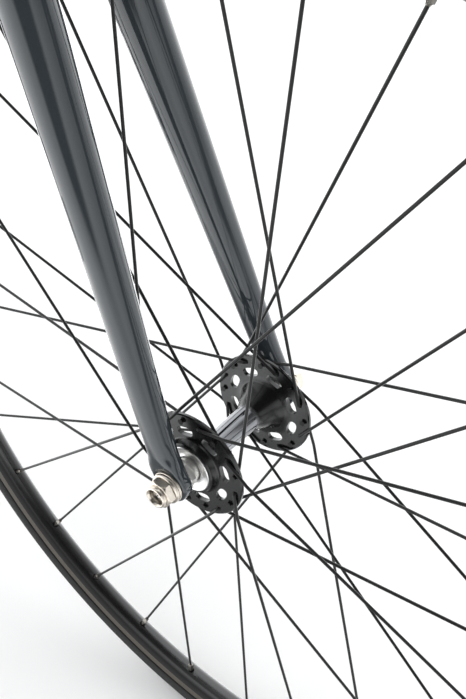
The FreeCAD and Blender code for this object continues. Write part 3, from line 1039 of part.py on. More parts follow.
def wheel(prefix, at, fy):
    rb, rim_w, half, edge, well = d("rim_bed_r"), d("rim_wall"), d("rim_half"), d("rim_edge_r"), d("rim_well_r")
    outer = [(rb, 0), (rb + 0.25, 3.2), (rb + 1.5, 5.4), (rb + 3.6, 7.2), (rb + 7.0, 8.8), (rb + 10.5, 9.7), (rb + 13.0, half), (edge - 0.5, half), (edge, half - 0.4), (edge, half - 1.5), (edge - 1.4, half - 2.4),
             (well + 1.0, half - 1.8), (well, half - 2.6), (well, 0)]
    ring = outer + [(r, -y) for r, y in outer[::-1][1:-1]]
    inner = [(rb + rim_w, 0), (rb + rim_w + 0.3, 2.8), (rb + rim_w + 1.6, 4.8), (rb + rim_w + 4.6, 6.8), (well - 1.8, 7.6), (well - 1.6, 0)]
    hollow = inner + [(r, -y) for r, y in inner[::-1][1:-1]]
    rim = wheel_turned(prefix + "_rim", ring, hollow)
    doc.recompute()
    # nipple holes of the two sides, and one valve hole; the rim is then turned to its place
    for side, turn in ((-1, 0.0), (1, STEP / 2)):
        sk = disc(rim, "XY_Plane", [(0, d("nipple_side") * side, d("nipple_hole"))], name="nipple_hole", offset=Placement(V(0, 0, 0), Rotation(V(0, 1, 0), -turn)))
        p = pocket(rim, sk, well - 3.0, reverse=True)
        around(rim, p, "Y_Axis", 16)
    spin = Rotation(V(0, 1, 0), -(PHI - 90.0))
    rim.Placement = Placement(at, spin)
    vang = 90.0
    # the valve stands midway between two nipples
    near = min((abs(((vang - (PHI + k * STEP / 2 + STEP / 4) + 180) % 360) - 180), k) for k in range(32))[1]
    vang = PHI + near * STEP / 2 + STEP / 4
    vdir = polar(1.0, vang, 0)
    vhole = cylinder(prefix + "_valve_hole", d("valve_hole"), 40.0, along(at + vdir * 285.0, at + vdir * 330.0))
    node(cut(prefix + "_rim_drilled", rim, vhole), prefix + "_rim")

    def ringed(nm, major, minor):
        t = doc.addObject("Part::Torus", nm)
        bind(t, Radius1=q(major), Radius2=q(minor))
        t.Placement = Placement(at, ALONG_Y)
        return t

    def slab(nm, r, y0, y1):
        return cylinder(nm, r, y1 - y0, Placement(at + V(0, y0, 0), ALONG_Y))

    side_l = slab(prefix + "_side_l", edge + 0.25, NUM["bead_half"], 20.0)
    side_r = slab(prefix + "_side_r", edge + 0.25, -20.0, -NUM["bead_half"])
    slot = slab(prefix + "_bead_slot", edge + 1.0, -NUM["bead_slot"], NUM["bead_slot"])
    node(cut(prefix + "_tyre", ringed(prefix + "_casing", d("tyre_ring"), d("tyre_section")), ringed(prefix + "_cavity", d("tyre_ring") + 0.3, d("tyre_cavity")),
             side_l, side_r, slot), prefix + "_tyre")
    air = cut(prefix + "_air", ringed(prefix + "_tube_out", d("tyre_ring") + 0.3, d("tube_section")), ringed(prefix + "_tube_in", d("tyre_ring") + 0.3, d("tube_inner")))
    stem_ = post_turned(prefix + "_valve", [(0, -318.0), (d("valve_r"), -318.0), (d("valve_r"), -276.0), (2.6, -275.0), (2.6, -272.0), (2.2, -271.5), (2.2, -263.5),
                                            (1.2, -262.6), (0, -262.6)])
    stem_.Placement = Placement(at, Rotation(V(0, 0, -1), vdir))
    node(fuse(prefix + "_inner_tube", air, stem_), prefix + "_inner_tube")
    so, no = wheel_spokes(prefix, fy, at)
    node(so, prefix + "_spokes")
    node(no, prefix + "_nipples")


wheel("front", FRONT, NUM["flange_y"])
wheel("rear", REAR, NUM["rear_flange_y"])


# =========================== drive =========================================================
def sprocket(name, teeth, inner_r, at, first_angle, extra=None):
    """A flat toothed ring; the rollers sit in round seats on the pitch circle."""
    pr = pitch_radius(teeth)
    b = body(name)
    sk = disc(b, "XZ_Plane", [(0, 0, pr + 3.1), (0, 0, inner_r)], name="blank")
    pad(b, sk, d("sprocket_thick"), midplane=True)
    seat, half = 4.05, math.pi / teeth
    gap = []
    for k in range(9):
        a = math.radians(122.0 + 14.5 * k)
        gap.append((pr + seat * math.cos(a), seat * math.sin(a)))
    tipw = (pr + 4.0) * math.sin(half) - 0.55
    gap = [(pr + 4.0, tipw), (pr + 1.6, 4.65), (pr - 0.2, 4.10)] + gap + [(pr - 0.2, -4.10), (pr + 1.6, -4.65), (pr + 4.0, -tipw)]
    gs = poly(b, "XZ_Plane", gap, name="tooth_gap")
    doc.recompute()
    before = b.Shape.Volume
    p = b.newObject("PartDesign::Pocket", name + "_gap")
    p.Profile = gs
    p.Type = 1
    p.Midplane = True
    b.Tip = p
    doc.recompute()
    if b.Shape.Volume > before - 1.0:
        raise RuntimeError("no tooth gap in " + name)
    around(b, p, "Y_Axis", teeth)
    if extra:
        extra(b)
    b.Placement = Placement(at + V(0, CY, 0), Rotation(V(0, 1, 0), -first_angle))
    return b


def ring_holes(b):
    sk = disc(b, "XZ_Plane", [(d("bolt_circle"), 0, d("bolt_hole"))], name="bolt_hole", offset=Placement(V(0, 0, 0), Rotation(V(0, 0, 1), RING_SPIN)))
    doc.recompute()
    p = b.newObject("PartDesign::Pocket", "ring_bolt_hole")
    p.Profile = sk
    p.Type = 1
    p.Midplane = True
    b.Tip = p
    around(b, p, "Y_Axis", 5)
    w = []
    for r, a in ((73.5, -20), (73.5, 20), (82.5, 22), (82.5, -22)):
        w.append((r * math.cos(math.radians(a)), r * math.sin(math.radians(a))))
    sk2 = poly(b, "XZ_Plane", w, name="window", offset=Placement(V(0, 0, 0), Rotation(V(0, 0, 1), RING_SPIN + 36.0)))
    doc.recompute()
    p2 = b.newObject("PartDesign::Pocket", "ring_window")
    p2.Profile = sk2
    p2.Type = 1
    p2.Midplane = True
    b.Tip = p2
    around(b, p2, "Y_Axis", 5)


def seat_angle(centre, radius):
    for p in ROLLERS:
        r = math.hypot(p[0] - centre.x, p[1] - centre.z)
        if abs(r - radius) < 0.002:
            return math.degrees(math.atan2(p[1] - centre.z, p[0] - centre.x))
    raise RuntimeError("no roller on the sprocket")


RING_A, COG_A = seat_angle(BB, RBIG), seat_angle(REAR, RSMALL)
ARM_A = 0.0                                # the right crank points straight forward
RING_SPIN = ARM_A + 36.0 - RING_A
node(sprocket("chainring", RING_T, d("ring_inner"), BB, RING_A, ring_holes), "chainring")
node(sprocket("rear_cog", COG_T, d("cog_bore"), REAR, COG_A), "rear_cog")
lockring = wheel_turned("rear_lockring", [(16.44, -44.64), (d("lockring_r"), -44.64), (d("lockring_r"), -48.6), (d("lockring_r") - 1.0, -49.6), (16.44, -49.6)])
lr_b = lockring
doc.recompute()
lr_sk = poly(lr_b, "XZ_Plane", [(17.9, -2.2), (26.0, -2.2), (26.0, 2.2), (17.9, 2.2)], name="spanner_slot")
lr_p = pocket(lr_b, lr_sk, None, reverse=True)
around(lr_b, lr_p, "Y_Axis", 4)
lr_b.Placement = Placement(REAR, Rotation())
node(lr_b, "rear_lockring")

spindle = wheel_turned("crank_spindle", [(0, -60.0), (d("spindle_r") - 1.6, -60.0), (d("spindle_r") - 0.9, -48.0), (d("spindle_r") - 0.4, -42.0), (d("spindle_r"), -40.0), (d("spindle_r"), 40.0),
                                         (d("spindle_r") - 0.4, 42.0), (d("spindle_r") - 0.9, 48.0), (d("spindle_r") - 1.6, 60.0), (0, 60.0)])
spindle.Placement = Placement(BB, Rotation())
node(spindle, "crank_spindle")


def crank(name, side, turn):
    """An arm along +X with a boss on the spindle and an eye for the pedal; side is -1 (right) or +1 (left)."""
    rows = [(0, 12.5, 7.2, 60.0), (24, 15.2, 8.0, 60.4), (60, 13.2, 7.0, 61.6), (110, 11.4, 6.4, 63.6), (150, 11.6, 6.2, 65.2), (165, 10.0, 6.0, 65.6)]
    secs = [ellipse("%s_s%d" % (name, i), hh, hw, Placement(V(x, side * y, 0), Rotation(V(0, 1, 0), 90))) for i, (x, hh, hw, y) in enumerate(rows)]
    arm_ = loft(name + "_arm", secs)
    y_in, y_out = 44.8, 68.4
    boss = wheel_turned(name + "_boss", [(0, side * y_in), (d("crank_boss_r") - 2.0, side * y_in), (d("crank_boss_r"), side * (y_in + 2.5)), (d("crank_boss_r"), side * (y_out - 3.5)),
                                         (d("crank_boss_r") - 2.5, side * y_out), (0, side * y_out)])
    eye = wheel_turned(name + "_eye", [(0, side * 59.4), (d("crank_eye_r") - 1.2, side * 59.4), (d("crank_eye_r"), side * 60.6), (d("crank_eye_r"), side * 71.0),
                                       (d("crank_eye_r") - 1.2, side * 72.2), (0, side * 72.2)])
    eye.Placement = Placement(V(NUM["crank_len"], 0, 0), Rotation())
    taper = wheel_turned(name + "_taper", [(0, side * 38.0), (d("spindle_r") + 0.02, side * 38.0), (d("spindle_r") + 0.02, side * 40.0), (d("spindle_r") - 0.38, side * 42.0),
                                           (d("spindle_r") - 0.88, side * 48.0), (d("spindle_r") - 1.58, side * 60.0), (0, side * 60.0)])
    rec = wheel_turned(name + "_recess", [(0, side * 59.0), (6.9, side * 59.0), (6.9, side * 61.0), (10.9, side * 61.0), (10.9, side * 70.0), (0, side * 70.0)])
    axh = cylinder(name + "_axle_hole", d("pedal_axle_r"), 60.0, Placement(V(NUM["crank_len"], side * 66.0 - 30.0, 0), ALONG_Y))
    shapes = [arm_, boss, eye]
    if side < 0:
        sp = body(name + "_spider")
        ro, w0, w1 = NUM["bolt_circle"], 11.5, 7.6
        endcap = [(ro + 8.0 * math.cos(math.radians(a)), 8.0 * math.sin(math.radians(a))) for a in range(-80, 81, 20)]
        sk = poly(sp, "XZ_Plane", [(8.0, -w0), (30.0, -w0 * 0.86), (ro - 10.0, -w1)] + endcap + [(ro - 10.0, w1), (30.0, w0 * 0.86), (8.0, w0)], name="spider_arm",
                  offset=Placement(V(0, 0, 0), Rotation(V(0, 0, 1), 36.0)))
        pp = pad(sp, sk, d("spider_thick"), midplane=True)
        doc.recompute()
        around(sp, pp, "Y_Axis", 5)
        hk = disc(sp, "XZ_Plane", [(d("bolt_circle"), 0, d("bolt_hole"))], name="bolt_hole", offset=Placement(V(0, 0, 0), Rotation(V(0, 0, 1), 36.0)))
        doc.recompute()
        hp = sp.newObject("PartDesign::Pocket", name + "_bolt_holes")
        hp.Profile = hk
        hp.Type = 1
        hp.Midplane = True
        sp.Tip = hp
        around(sp, hp, "Y_Axis", 5)
        sp.Placement = Placement(V(0, CY - NUM["sprocket_thick"] / 2 - NUM["spider_thick"] / 2 - 0.02, 0), Rotation())
        shapes.append(sp)
    out = cut(name, fuse(name + "_whole", *shapes), taper, rec, axh)
    out.Placement = Placement(BB, Rotation(V(0, 1, 0), turn))
    return out


node(crank("crank_arm_right", -1, 0.0), "crank_arm_right")
node(crank("crank_arm_left", 1, 180.0), "crank_arm_left")
cb = []
for i, s in enumerate((-1, 1)):
    bo = wheel_turned("spindle_bolt%d" % i, [(0, s * 61.05), (10.6, s * 61.05), (10.6, s * 66.2), (9.4, s * 67.6), (4.2, s * 67.6), (4.2, s * 64.0), (0, s * 64.0)])
    bo.Placement = Placement(BB, Rotation())
    cb.append(bo)
y_r = CY - NUM["sprocket_thick"] / 2
for k in range(5):
    a = 36.0 + 72.0 * k
    bo = wheel_turned("ring_bolt%d" % k, [(0, y_r + 4.6), (6.6, y_r + 4.6), (6.6, y_r + 2.95), (5.0, y_r + 2.95), (5.0, y_r - 5.45), (6.8, y_r - 5.45), (6.8, y_r - 6.6), (6.0, y_r - 7.2),
                                          (2.6, y_r - 7.2), (2.6, y_r - 5.0), (0, y_r - 5.0)])
    bo.Placement = Placement(BB + polar(NUM["bolt_circle"], a, 0), Rotation())
    cb.append(bo)
node(group("crank_bolts", *cb), "crank_bolts")

# pedals: an axle in each crank eye, and a flat cage body that turns on it
PEDALS = {-1: BB + V(NUM["crank_len"], 0, 0), 1: BB + V(-NUM["crank_len"], 0, 0)}
pa = []
for s in (-1, 1):
    ax_ = wheel_turned("pedal_axle_%s" % ("right" if s < 0 else "left"),
                       [(0, s * 59.6), (d("pedal_axle_r") - 0.02, s * 59.6), (d("pedal_axle_r") - 0.02, s * 72.4), (8.4, s * 72.4), (8.4, s * 76.0), (6.4, s * 76.6), (d("pedal_axle_r"), s * 77.2), (d("pedal_axle_r"), s * 140.0),
                        (d("pedal_axle_r") - 1.0, s * 141.0), (0, s * 141.0)])
    ax_.Placement = Placement(PEDALS[s], Rotation())
    pa.append(ax_)
node(group("pedal_axles", *pa), "pedal_axles")
for s, nm in ((-1, "pedal_right"), (1, "pedal_left")):
    b = body(nm + "_cage")
    hl, hw = d("pedal_long") / 2.0, d("pedal_wide") / 2.0
    out = [(hl, -(hw - 9.0)), (hl, hw - 9.0), (hl - 5.0, hw - 2.0), (hl - 12.0, hw), (-(hl - 12.0), hw), (-(hl - 5.0), hw - 2.0), (-hl, hw - 9.0), (-hl, -(hw - 9.0)),
           (-(hl - 5.0), -(hw - 2.0)), (-(hl - 12.0), -hw), (hl - 12.0, -hw), (hl - 5.0, -(hw - 2.0))]
    def window(x0, x1):
        return [(x0, -(hw - 8.0)), (x1, -(hw - 8.0)), (x1, hw - 8.0), (x0, hw - 8.0)]
    sk = poly(b, "XY_Plane", out, window(Q(13.0, "13"), hl - 7.0), window(-(hl - 7.0), Q(-13.0, "-13")), name="cage")
    pad(b, sk, d("pedal_high"), midplane=True)
    b.Placement = Placement(V(0, s * 110.0, 0), Rotation())
    sleeve = cylinder(nm + "_sleeve", d("pedal_sleeve"), 64.0, Placement(V(0, s * 110.0 - 32.0, 0), ALONG_Y))
    bore = cylinder(nm + "_bore", d("pedal_bore"), 63.6, Placement(V(0, 77.9 if s > 0 else -141.5, 0), ALONG_Y))
    scoops = []
    for j, sz in enumerate((-1, 1)):
        sc_ = cylinder("%s_scoop%d" % (nm, j), 120.0, 80.0, Placement(V(0, s * 110.0 - 40.0, sz * 126.0), ALONG_Y))
        scoops.append(sc_)
    pins = []
    for j, (px, py) in enumerate(((40, 20), (40, -20), (-40, 20), (-40, -20), (30, 28), (30, -28), (-30, 28), (-30, -28))):
        pins.append(cylinder("%s_pin%d" % (nm, j), 1.6, 26.0, Placement(V(px, s * 110.0 + py, -13.0), Rotation())))
    pd = cut(nm + "_body", fuse(nm + "_whole", cut(nm + "_dished", b, *scoops), sleeve, *pins), bore)
    pd.Placement = Placement(PEDALS[s], Rotation())
    node(pd, nm + "_body")

# =========================== check and write ===============================================
doc.recompute()
bad = []
for o in doc.Objects:
    if "Invalid" in o.State or "Error" in o.State:
        bad.append("%s %s" % (o.Label, o.State))
for name, o in NODES.items():
    s = o.Shape
    if s.isNull() or not s.isValid() or not s.Solids:
        bad.append("%s shape null=%s valid=%s solids=%d" % (name, s.isNull(), (not s.isNull()) and s.isValid(), 0 if s.isNull() else len(s.Solids)))
if bad:
    raise RuntimeError("failed: " + "; ".join(bad))
os.makedirs("parts", exist_ok=True)
for name, o in NODES.items():
    o.Shape.exportStep("parts/%s.step" % name)
    bb = o.Shape.BoundBox
    print("%-22s solids %3d  vol %10.1f  x %.1f..%.1f y %.1f..%.1f z %.1f..%.1f" % (name, len(o.Shape.Solids), o.Shape.Volume, bb.XMin, bb.XMax, bb.YMin, bb.YMax, bb.ZMin, bb.ZMax))
print("nodes", len(NODES), "chainstay %.3f wheelbase %.3f" % (CS, WB))
print("BB", BB, "REAR", REAR, "FRONT", FRONT, "RAIL", RAIL)
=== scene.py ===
import math
import random

import bmesh
import bpy
from mathutils import Matrix, Vector


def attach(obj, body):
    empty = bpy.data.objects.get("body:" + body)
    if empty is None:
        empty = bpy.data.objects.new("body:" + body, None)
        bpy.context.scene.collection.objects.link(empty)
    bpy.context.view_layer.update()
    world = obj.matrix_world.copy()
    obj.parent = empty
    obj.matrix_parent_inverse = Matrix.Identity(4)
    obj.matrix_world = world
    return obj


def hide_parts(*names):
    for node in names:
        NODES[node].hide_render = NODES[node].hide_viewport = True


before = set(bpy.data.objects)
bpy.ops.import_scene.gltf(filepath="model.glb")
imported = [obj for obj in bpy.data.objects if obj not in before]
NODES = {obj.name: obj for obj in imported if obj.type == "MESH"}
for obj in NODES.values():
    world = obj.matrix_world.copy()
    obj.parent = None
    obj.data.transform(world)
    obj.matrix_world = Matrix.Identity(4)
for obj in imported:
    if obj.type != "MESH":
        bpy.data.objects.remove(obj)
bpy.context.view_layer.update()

random.seed(11)
MM = 0.001

# --- main points of the bicycle, in metres ---------------------------------------------
FRONT = Vector((0.47927352, 0.0, 0.3365))
REAR = Vector((-0.47927352, 0.0, 0.3365))
BB = Vector((-0.08772648, 0.0, 0.2815))
C74, S74 = math.cos(math.radians(74.0)), math.sin(math.radians(74.0))
FN, FD = Vector((S74, 0, C74)), Vector((-C74, 0, S74))


def fork_pt(x, y, z):
    """Fork frame (mm): x ahead of the axle, z along the steerer."""
    return FRONT + FN * (x * MM) + FD * (z * MM) + Vector((0, y * MM, 0))


def seat_pt(x, y, z):
    """Seat frame (mm): z along the seat tube from the crank axis."""
    return BB + FN * (x * MM) + FD * (z * MM) + Vector((0, y * MM, 0))


# =========================== materials ==================================================
class Shade:
    """A procedural material on one Principled shader."""

    def __init__(self, name, **sockets):
        self.mat = bpy.data.materials.new(name)
        self.mat.use_nodes = True
        self.t = self.mat.node_tree
        self.t.nodes.clear()
        self.out = self.t.nodes.new("ShaderNodeOutputMaterial")
        self.b = self.t.nodes.new("ShaderNodeBsdfPrincipled")
        self.t.links.new(self.b.outputs["BSDF"], self.out.inputs["Surface"])
        self.coord = self.t.nodes.new("ShaderNodeTexCoord")
        for key, value in sockets.items():
            self.b.inputs[key.replace("_", " ")].default_value = value

    def put(self, socket, link):
        self.t.links.new(link, self.b.inputs[socket])

    def at(self, centre=(0, 0, 0), scale=(1, 1, 1), rot=(0, 0, 0)):
        """Object coordinates moved so that centre is the origin."""
        sub = self.t.nodes.new("ShaderNodeVectorMath")
        sub.operation = "SUBTRACT"
        self.t.links.new(self.coord.outputs["Object"], sub.inputs[0])
        sub.inputs[1].default_value = centre
        m = self.t.nodes.new("ShaderNodeMapping")
        m.inputs["Scale"].default_value = scale
        m.inputs["Rotation"].default_value = rot
        self.t.links.new(sub.outputs[0], m.inputs["Vector"])
        return m.outputs["Vector"]

    def noise(self, scale, detail=3.0, rough=0.55, vec=None, dist=0.0):
        n = self.t.nodes.new("ShaderNodeTexNoise")
        n.inputs["Scale"].default_value = scale
        n.inputs["Detail"].default_value = detail
        n.inputs["Roughness"].default_value = rough
        n.inputs["Distortion"].default_value = dist
        self.t.links.new(vec if vec is not None else self.coord.outputs["Object"], n.inputs["Vector"])
        return n.outputs["Fac"]

    def voronoi(self, scale, feature="F1", vec=None, rand=1.0):
        n = self.t.nodes.new("ShaderNodeTexVoronoi")
        n.feature = feature
        n.inputs["Scale"].default_value = scale
        n.inputs["Randomness"].default_value = rand
        self.t.links.new(vec if vec is not None else self.coord.outputs["Object"], n.inputs["Vector"])
        return n.outputs["Distance"]

    def math(self, op, a, b=None, clamp=False):
        n = self.t.nodes.new("ShaderNodeMath")
        n.operation = op
        n.use_clamp = clamp
        for i, x in enumerate((a, b)):
            if x is None:
                continue
            if isinstance(x, (int, float)):
                n.inputs[i].default_value = x
            else:
                self.t.links.new(x, n.inputs[i])
        return n.outputs[0]

    def span(self, x, lo, hi, a, b, smooth=False):
        n = self.t.nodes.new("ShaderNodeMapRange")
        n.interpolation_type = "SMOOTHSTEP" if smooth else "LINEAR"
        self.t.links.new(x, n.inputs["Value"])
        for key, v in (("From Min", lo), ("From Max", hi), ("To Min", a), ("To Max", b)):
            n.inputs[key].default_value = v
        return n.outputs["Result"]

    def mix(self, fac, a, b):
        n = self.t.nodes.new("ShaderNodeMix")
        n.data_type = "RGBA"
        self.t.links.new(fac, n.inputs["Factor"])
        for key, x in (("A", a), ("B", b)):
            s = [i for i in n.inputs if i.name == key and i.type == "RGBA"][0]
            if isinstance(x, (tuple, list)):
                s.default_value = tuple(x) + ((1.0,) if len(x) == 3 else ())
            else:
                self.t.links.new(x, s)
        return [o for o in n.outputs if o.type == "RGBA"][0]

    def ramp(self, fac, stops):
        n = self.t.nodes.new("ShaderNodeValToRGB")
        els = n.color_ramp.elements
        while len(els) < len(stops):
            els.new(0.5)
        for e, (p, c) in zip(els, stops):
            e.position = p
            e.color = (c, c, c, 1.0) if isinstance(c, (int, float)) else tuple(c) + (1.0,)
        self.t.links.new(fac, n.inputs["Fac"])
        return n.outputs["Color"]

    def axis(self, vec, which):
        n = self.t.nodes.new("ShaderNodeSeparateXYZ")
        self.t.links.new(vec, n.inputs[0])
        return n.outputs[which]

    def radius(self, centre):
        """Distance from the Y axis through centre, in metres."""
        v = self.at(centre)
        x, z = self.axis(v, "X"), self.axis(v, "Z")
        return self.math("SQRT", self.math("ADD", self.math("MULTIPLY", x, x), self.math("MULTIPLY", z, z)))

    def bump(self, height, strength, distance, socket="Normal", base=None):
        n = self.t.nodes.new("ShaderNodeBump")
        n.inputs["Strength"].default_value = strength
        n.inputs["Distance"].default_value = distance
        self.t.links.new(height, n.inputs["Height"])
        if base is not None:
            self.t.links.new(base, n.inputs["Normal"])
        self.put(socket, n.outputs["Normal"])
        return n.outputs["Normal"]


def paint():
    """Slate grey enamel with a fine flake under a clear coat."""
    s = Shade("slate_paint", Metallic=0.0, Specular_IOR_Level=0.05, Coat_Weight=1.0, Coat_Roughness=0.012, Coat_IOR=1.5)
    flake = s.voronoi(2600.0)
    drift = s.noise(5.0, 2.0)
    col = s.mix(drift, (0.0225, 0.0285, 0.0330), (0.0270, 0.0335, 0.0385))
    f = s.span(flake, 0.05, 0.6, 0.0, 1.0)
    s.put("Base Color", s.mix(f, (0.031, 0.038, 0.0435), col))
    s.put("Roughness", s.span(s.noise(40.0), 0.3, 0.7, 0.36, 0.46))
    peel = s.noise(210.0, 1.5, 0.4)
    s.bump(peel, 0.03, 0.0003, "Coat Normal")
    return s.mat


def anodised(name, tone=0.016, rough=(0.30, 0.42), grain=900.0, level=0.5):
    s = Shade(name, Metallic=0.0, Specular_IOR_Level=level)
    n = s.noise(28.0, 4.0)
    s.put("Base Color", s.mix(n, (tone, tone, tone * 1.06), (tone * 1.55, tone * 1.55, tone * 1.62)))
    s.put("Roughness", s.span(s.noise(60.0, 5.0), 0.25, 0.75, rough[0], rough[1]))
    s.bump(s.noise(grain, 2.0), 0.06, 0.0002)
    return s.mat


def turned_black(name, centre, tone=0.010, rough=(0.27, 0.36), level=0.5, barrel=None):
    """Black anodised metal with fine turning marks round the axle; inside |y| < barrel it is bare and polished."""
    s = Shade(name, Metallic=0.0, Specular_IOR_Level=level)
    r = s.radius(centre)
    y = s.axis(s.at(centre), "Y")
    comb = s.t.nodes.new("ShaderNodeCombineXYZ")
    s.t.links.new(r, comb.inputs["X"])
    s.t.links.new(y, comb.inputs["Y"])
    lines = s.noise(2600.0, 2.0, 0.6, comb.outputs[0])
    cloud = s.noise(45.0, 4.0)
    col = s.mix(cloud, (tone, tone, tone * 1.05), (tone * 1.6, tone * 1.6, tone * 1.66))
    rgh = s.span(lines, 0.3, 0.7, rough[0], rough[1])
    if barrel:
        mid_part = s.span(s.math("ABSOLUTE", y), barrel, barrel + 0.004, 1.0, 0.0, True)
        col = s.mix(mid_part, col, s.mix(cloud, (0.128, 0.131, 0.138), (0.158, 0.161, 0.168)))
        rgh = s.math("MULTIPLY", rgh, s.span(s.math("ABSOLUTE", y), barrel, barrel + 0.004, 0.42, 1.0))
        s.put("Metallic", mid_part)
    s.put("Base Color", col)
    s.put("Roughness", rgh)
    s.bump(lines, 0.05, 0.00008)
    return s.mat


def rim_black(name, centre):
    """Satin black rim with one narrow ground line on each side, and fine lines round the hub."""
    s = Shade(name, Metallic=0.0, Specular_IOR_Level=0.45)
    r = s.radius(centre)
    y = s.math("ABSOLUTE", s.axis(s.at(centre), "Y"))
    band_r = s.math("MULTIPLY", s.span(r, 0.3098, 0.3102, 0.0, 1.0), s.span(r, 0.3163, 0.3166, 1.0, 0.0))
    band = s.math("MULTIPLY", band_r, s.span(y, 0.0094, 0.0096, 0.0, 1.0))
    comb = s.t.nodes.new("ShaderNodeCombineXYZ")
    s.t.links.new(r, comb.inputs["X"])
    s.t.links.new(y, comb.inputs["Y"])
    lines = s.noise(3200.0, 2.0, 0.6, comb.outputs[0])
    cloud = s.noise(22.0, 4.0)
    black = s.mix(cloud, (0.006, 0.006, 0.0064), (0.010, 0.010, 0.0107))
    ground = s.mix(lines, (0.074, 0.066, 0.055), (0.108, 0.098, 0.084))
    s.put("Base Color", s.mix(band, black, ground))
    rough = s.span(s.noise(70.0, 4.0), 0.3, 0.7, 0.19, 0.26)
    s.put("Roughness", s.math("ADD", rough, s.math("MULTIPLY", band, 0.18)))
    # the crown is polished, the sides are dull
    s.put("Specular IOR Level", s.span(y, 0.0058, 0.0082, 0.62, 0.07, True))
    s.bump(lines, 0.05, 0.00008)
    return s.mat


def bright(name, tint=(0.44, 0.425, 0.40), rough=(0.10, 0.22), marks=0.05):
    """Bright plated steel with faint rub marks."""
    s = Shade(name, Metallic=1.0)
    cloud = s.noise(60.0, 5.0, 0.6)
    dark = tuple(c * 0.82 for c in tint)
    s.put("Base Color", s.mix(cloud, dark, tint))
    s.put("Roughness", s.span(s.noise(180.0, 5.0, 0.65), 0.3, 0.7, rough[0], rough[1]))
    s.bump(s.noise(700.0, 3.0), marks, 0.0002)
    return s.mat


def spoke_black():
    s = Shade("spoke_black", Metallic=0.0, Specular_IOR_Level=0.22)
    n = s.noise(90.0, 4.0)
    s.put("Base Color", s.mix(n, (0.007, 0.007, 0.0075), (0.012, 0.0118, 0.0115)))
    s.put("Roughness", s.span(s.noise(300.0, 3.0), 0.3, 0.7, 0.30, 0.40))
    s.bump(s.noise(1500.0, 2.0), 0.06, 0.0001)
    return s.mat


def oiled_steel(name, tint=(0.30, 0.285, 0.265)):
    s = Shade(name, Metallic=1.0)
    grime = s.noise(140.0, 5.0, 0.65)
    s.put("Base Color", s.mix(s.span(grime, 0.4, 0.62, 0.0, 1.0), tint, tuple(c * 0.28 for c in tint)))
    s.put("Roughness", s.span(grime, 0.35, 0.65, 0.24, 0.52))
    s.bump(s.noise(900.0, 3.0), 0.10, 0.0002)
    return s.mat


def tyre_rubber(name, centre):
    """Black rubber: a bloom of dust on the tread, fine casing threads on the side wall."""
    s = Shade(name, Metallic=0.0, Specular_IOR_Level=0.22)
    v = s.at(centre)
    x, y, z = s.axis(v, "X"), s.axis(v, "Y"), s.axis(v, "Z")
    r = s.radius(centre)
    ang = s.math("ARCTAN2", z, x)
    # two crossing sets of threads, slanted to the rim
    w1 = s.math("SINE", s.math("ADD", s.math("MULTIPLY", ang, 900.0), s.math("MULTIPLY", r, 5200.0)))
    w2 = s.math("SINE", s.math("SUBTRACT", s.math("MULTIPLY", ang, 900.0), s.math("MULTIPLY", r, 5200.0)))
    weave = s.math("ADD", w1, w2)
    side = s.span(s.math("ABSOLUTE", y), 0.0062, 0.0092, 0.0, 1.0, True)
    grain = s.noise(1400.0, 3.0, 0.6)
    dust = s.noise(35.0, 5.0, 0.6)
    tread = s.mix(s.span(dust, 0.4, 0.75, 0.0, 1.0), (0.012, 0.012, 0.0125), (0.024, 0.0235, 0.023))
    s.put("Base Color", s.mix(side, tread, s.mix(dust, (0.010, 0.010, 0.0105), (0.016, 0.016, 0.016))))
    s.put("Roughness", s.span(grain, 0.3, 0.7, 0.52, 0.70))
    h = s.math("ADD", s.math("MULTIPLY", s.math("MULTIPLY", weave, side), 0.16), grain)
    s.bump(h, 0.25, 0.0003)
    return s.mat


def leather():
    s = Shade("saddle_leather", Metallic=0.0, Specular_IOR_Level=0.45, Sheen_Weight=0.08, Sheen_Roughness=0.5)
    cells = s.voronoi(620.0, "DISTANCE_TO_EDGE")
    fine = s.noise(1500.0, 3.0)
    worn = s.noise(14.0, 4.0)
    s.put("Base Color", s.mix(s.span(worn, 0.4, 0.75, 0.0, 1.0), (0.012, 0.012, 0.0125), (0.026, 0.025, 0.024)))
    s.put("Roughness", s.span(worn, 0.3, 0.75, 0.52, 0.38))
    h = s.math("ADD", s.span(cells, 0.0, 0.10, 0.0, 1.0), s.math("MULTIPLY", fine, 0.35))
    s.bump(h, 0.35, 0.00025)
    return s.mat


def cork_tape():
    s = Shade("cork_tape", Metallic=0.0, Specular_IOR_Level=0.35)
    crumbs = s.voronoi(420.0)
    fine = s.noise(900.0, 4.0)
    s.put("Base Color", s.mix(s.span(crumbs, 0.10, 0.5, 1.0, 0.0), (0.013, 0.013, 0.0135), (0.032, 0.031, 0.030)))
    s.put("Roughness", s.span(fine, 0.3, 0.7, 0.66, 0.84))
    s.bump(s.math("ADD", crumbs, fine), 0.35, 0.0004)
    return s.mat


def moulded(name, tone=0.017):
    s = Shade(name, Metallic=0.0, Specular_IOR_Level=0.45)
    n = s.noise(30.0, 3.0)
    s.put("Base Color", s.mix(n, (tone, tone, tone), (tone * 1.5, tone * 1.5, tone * 1.5)))
    s.put("Roughness", s.span(s.noise(400.0, 3.0), 0.3, 0.7, 0.42, 0.58))
    s.bump(s.noise(1100.0, 3.0), 0.25, 0.0003)
    return s.mat


def soft_rubber():
    s = Shade("tube_rubber", Metallic=0.0, Specular_IOR_Level=0.35)
    s.put("Base Color", s.mix(s.noise(40.0, 4.0), (0.02, 0.02, 0.02), (0.034, 0.033, 0.032)))
    s.put("Roughness", s.span(s.noise(300.0), 0.3, 0.7, 0.55, 0.7))
    s.bump(s.noise(900.0, 3.0), 0.2, 0.0003)
    return s.mat


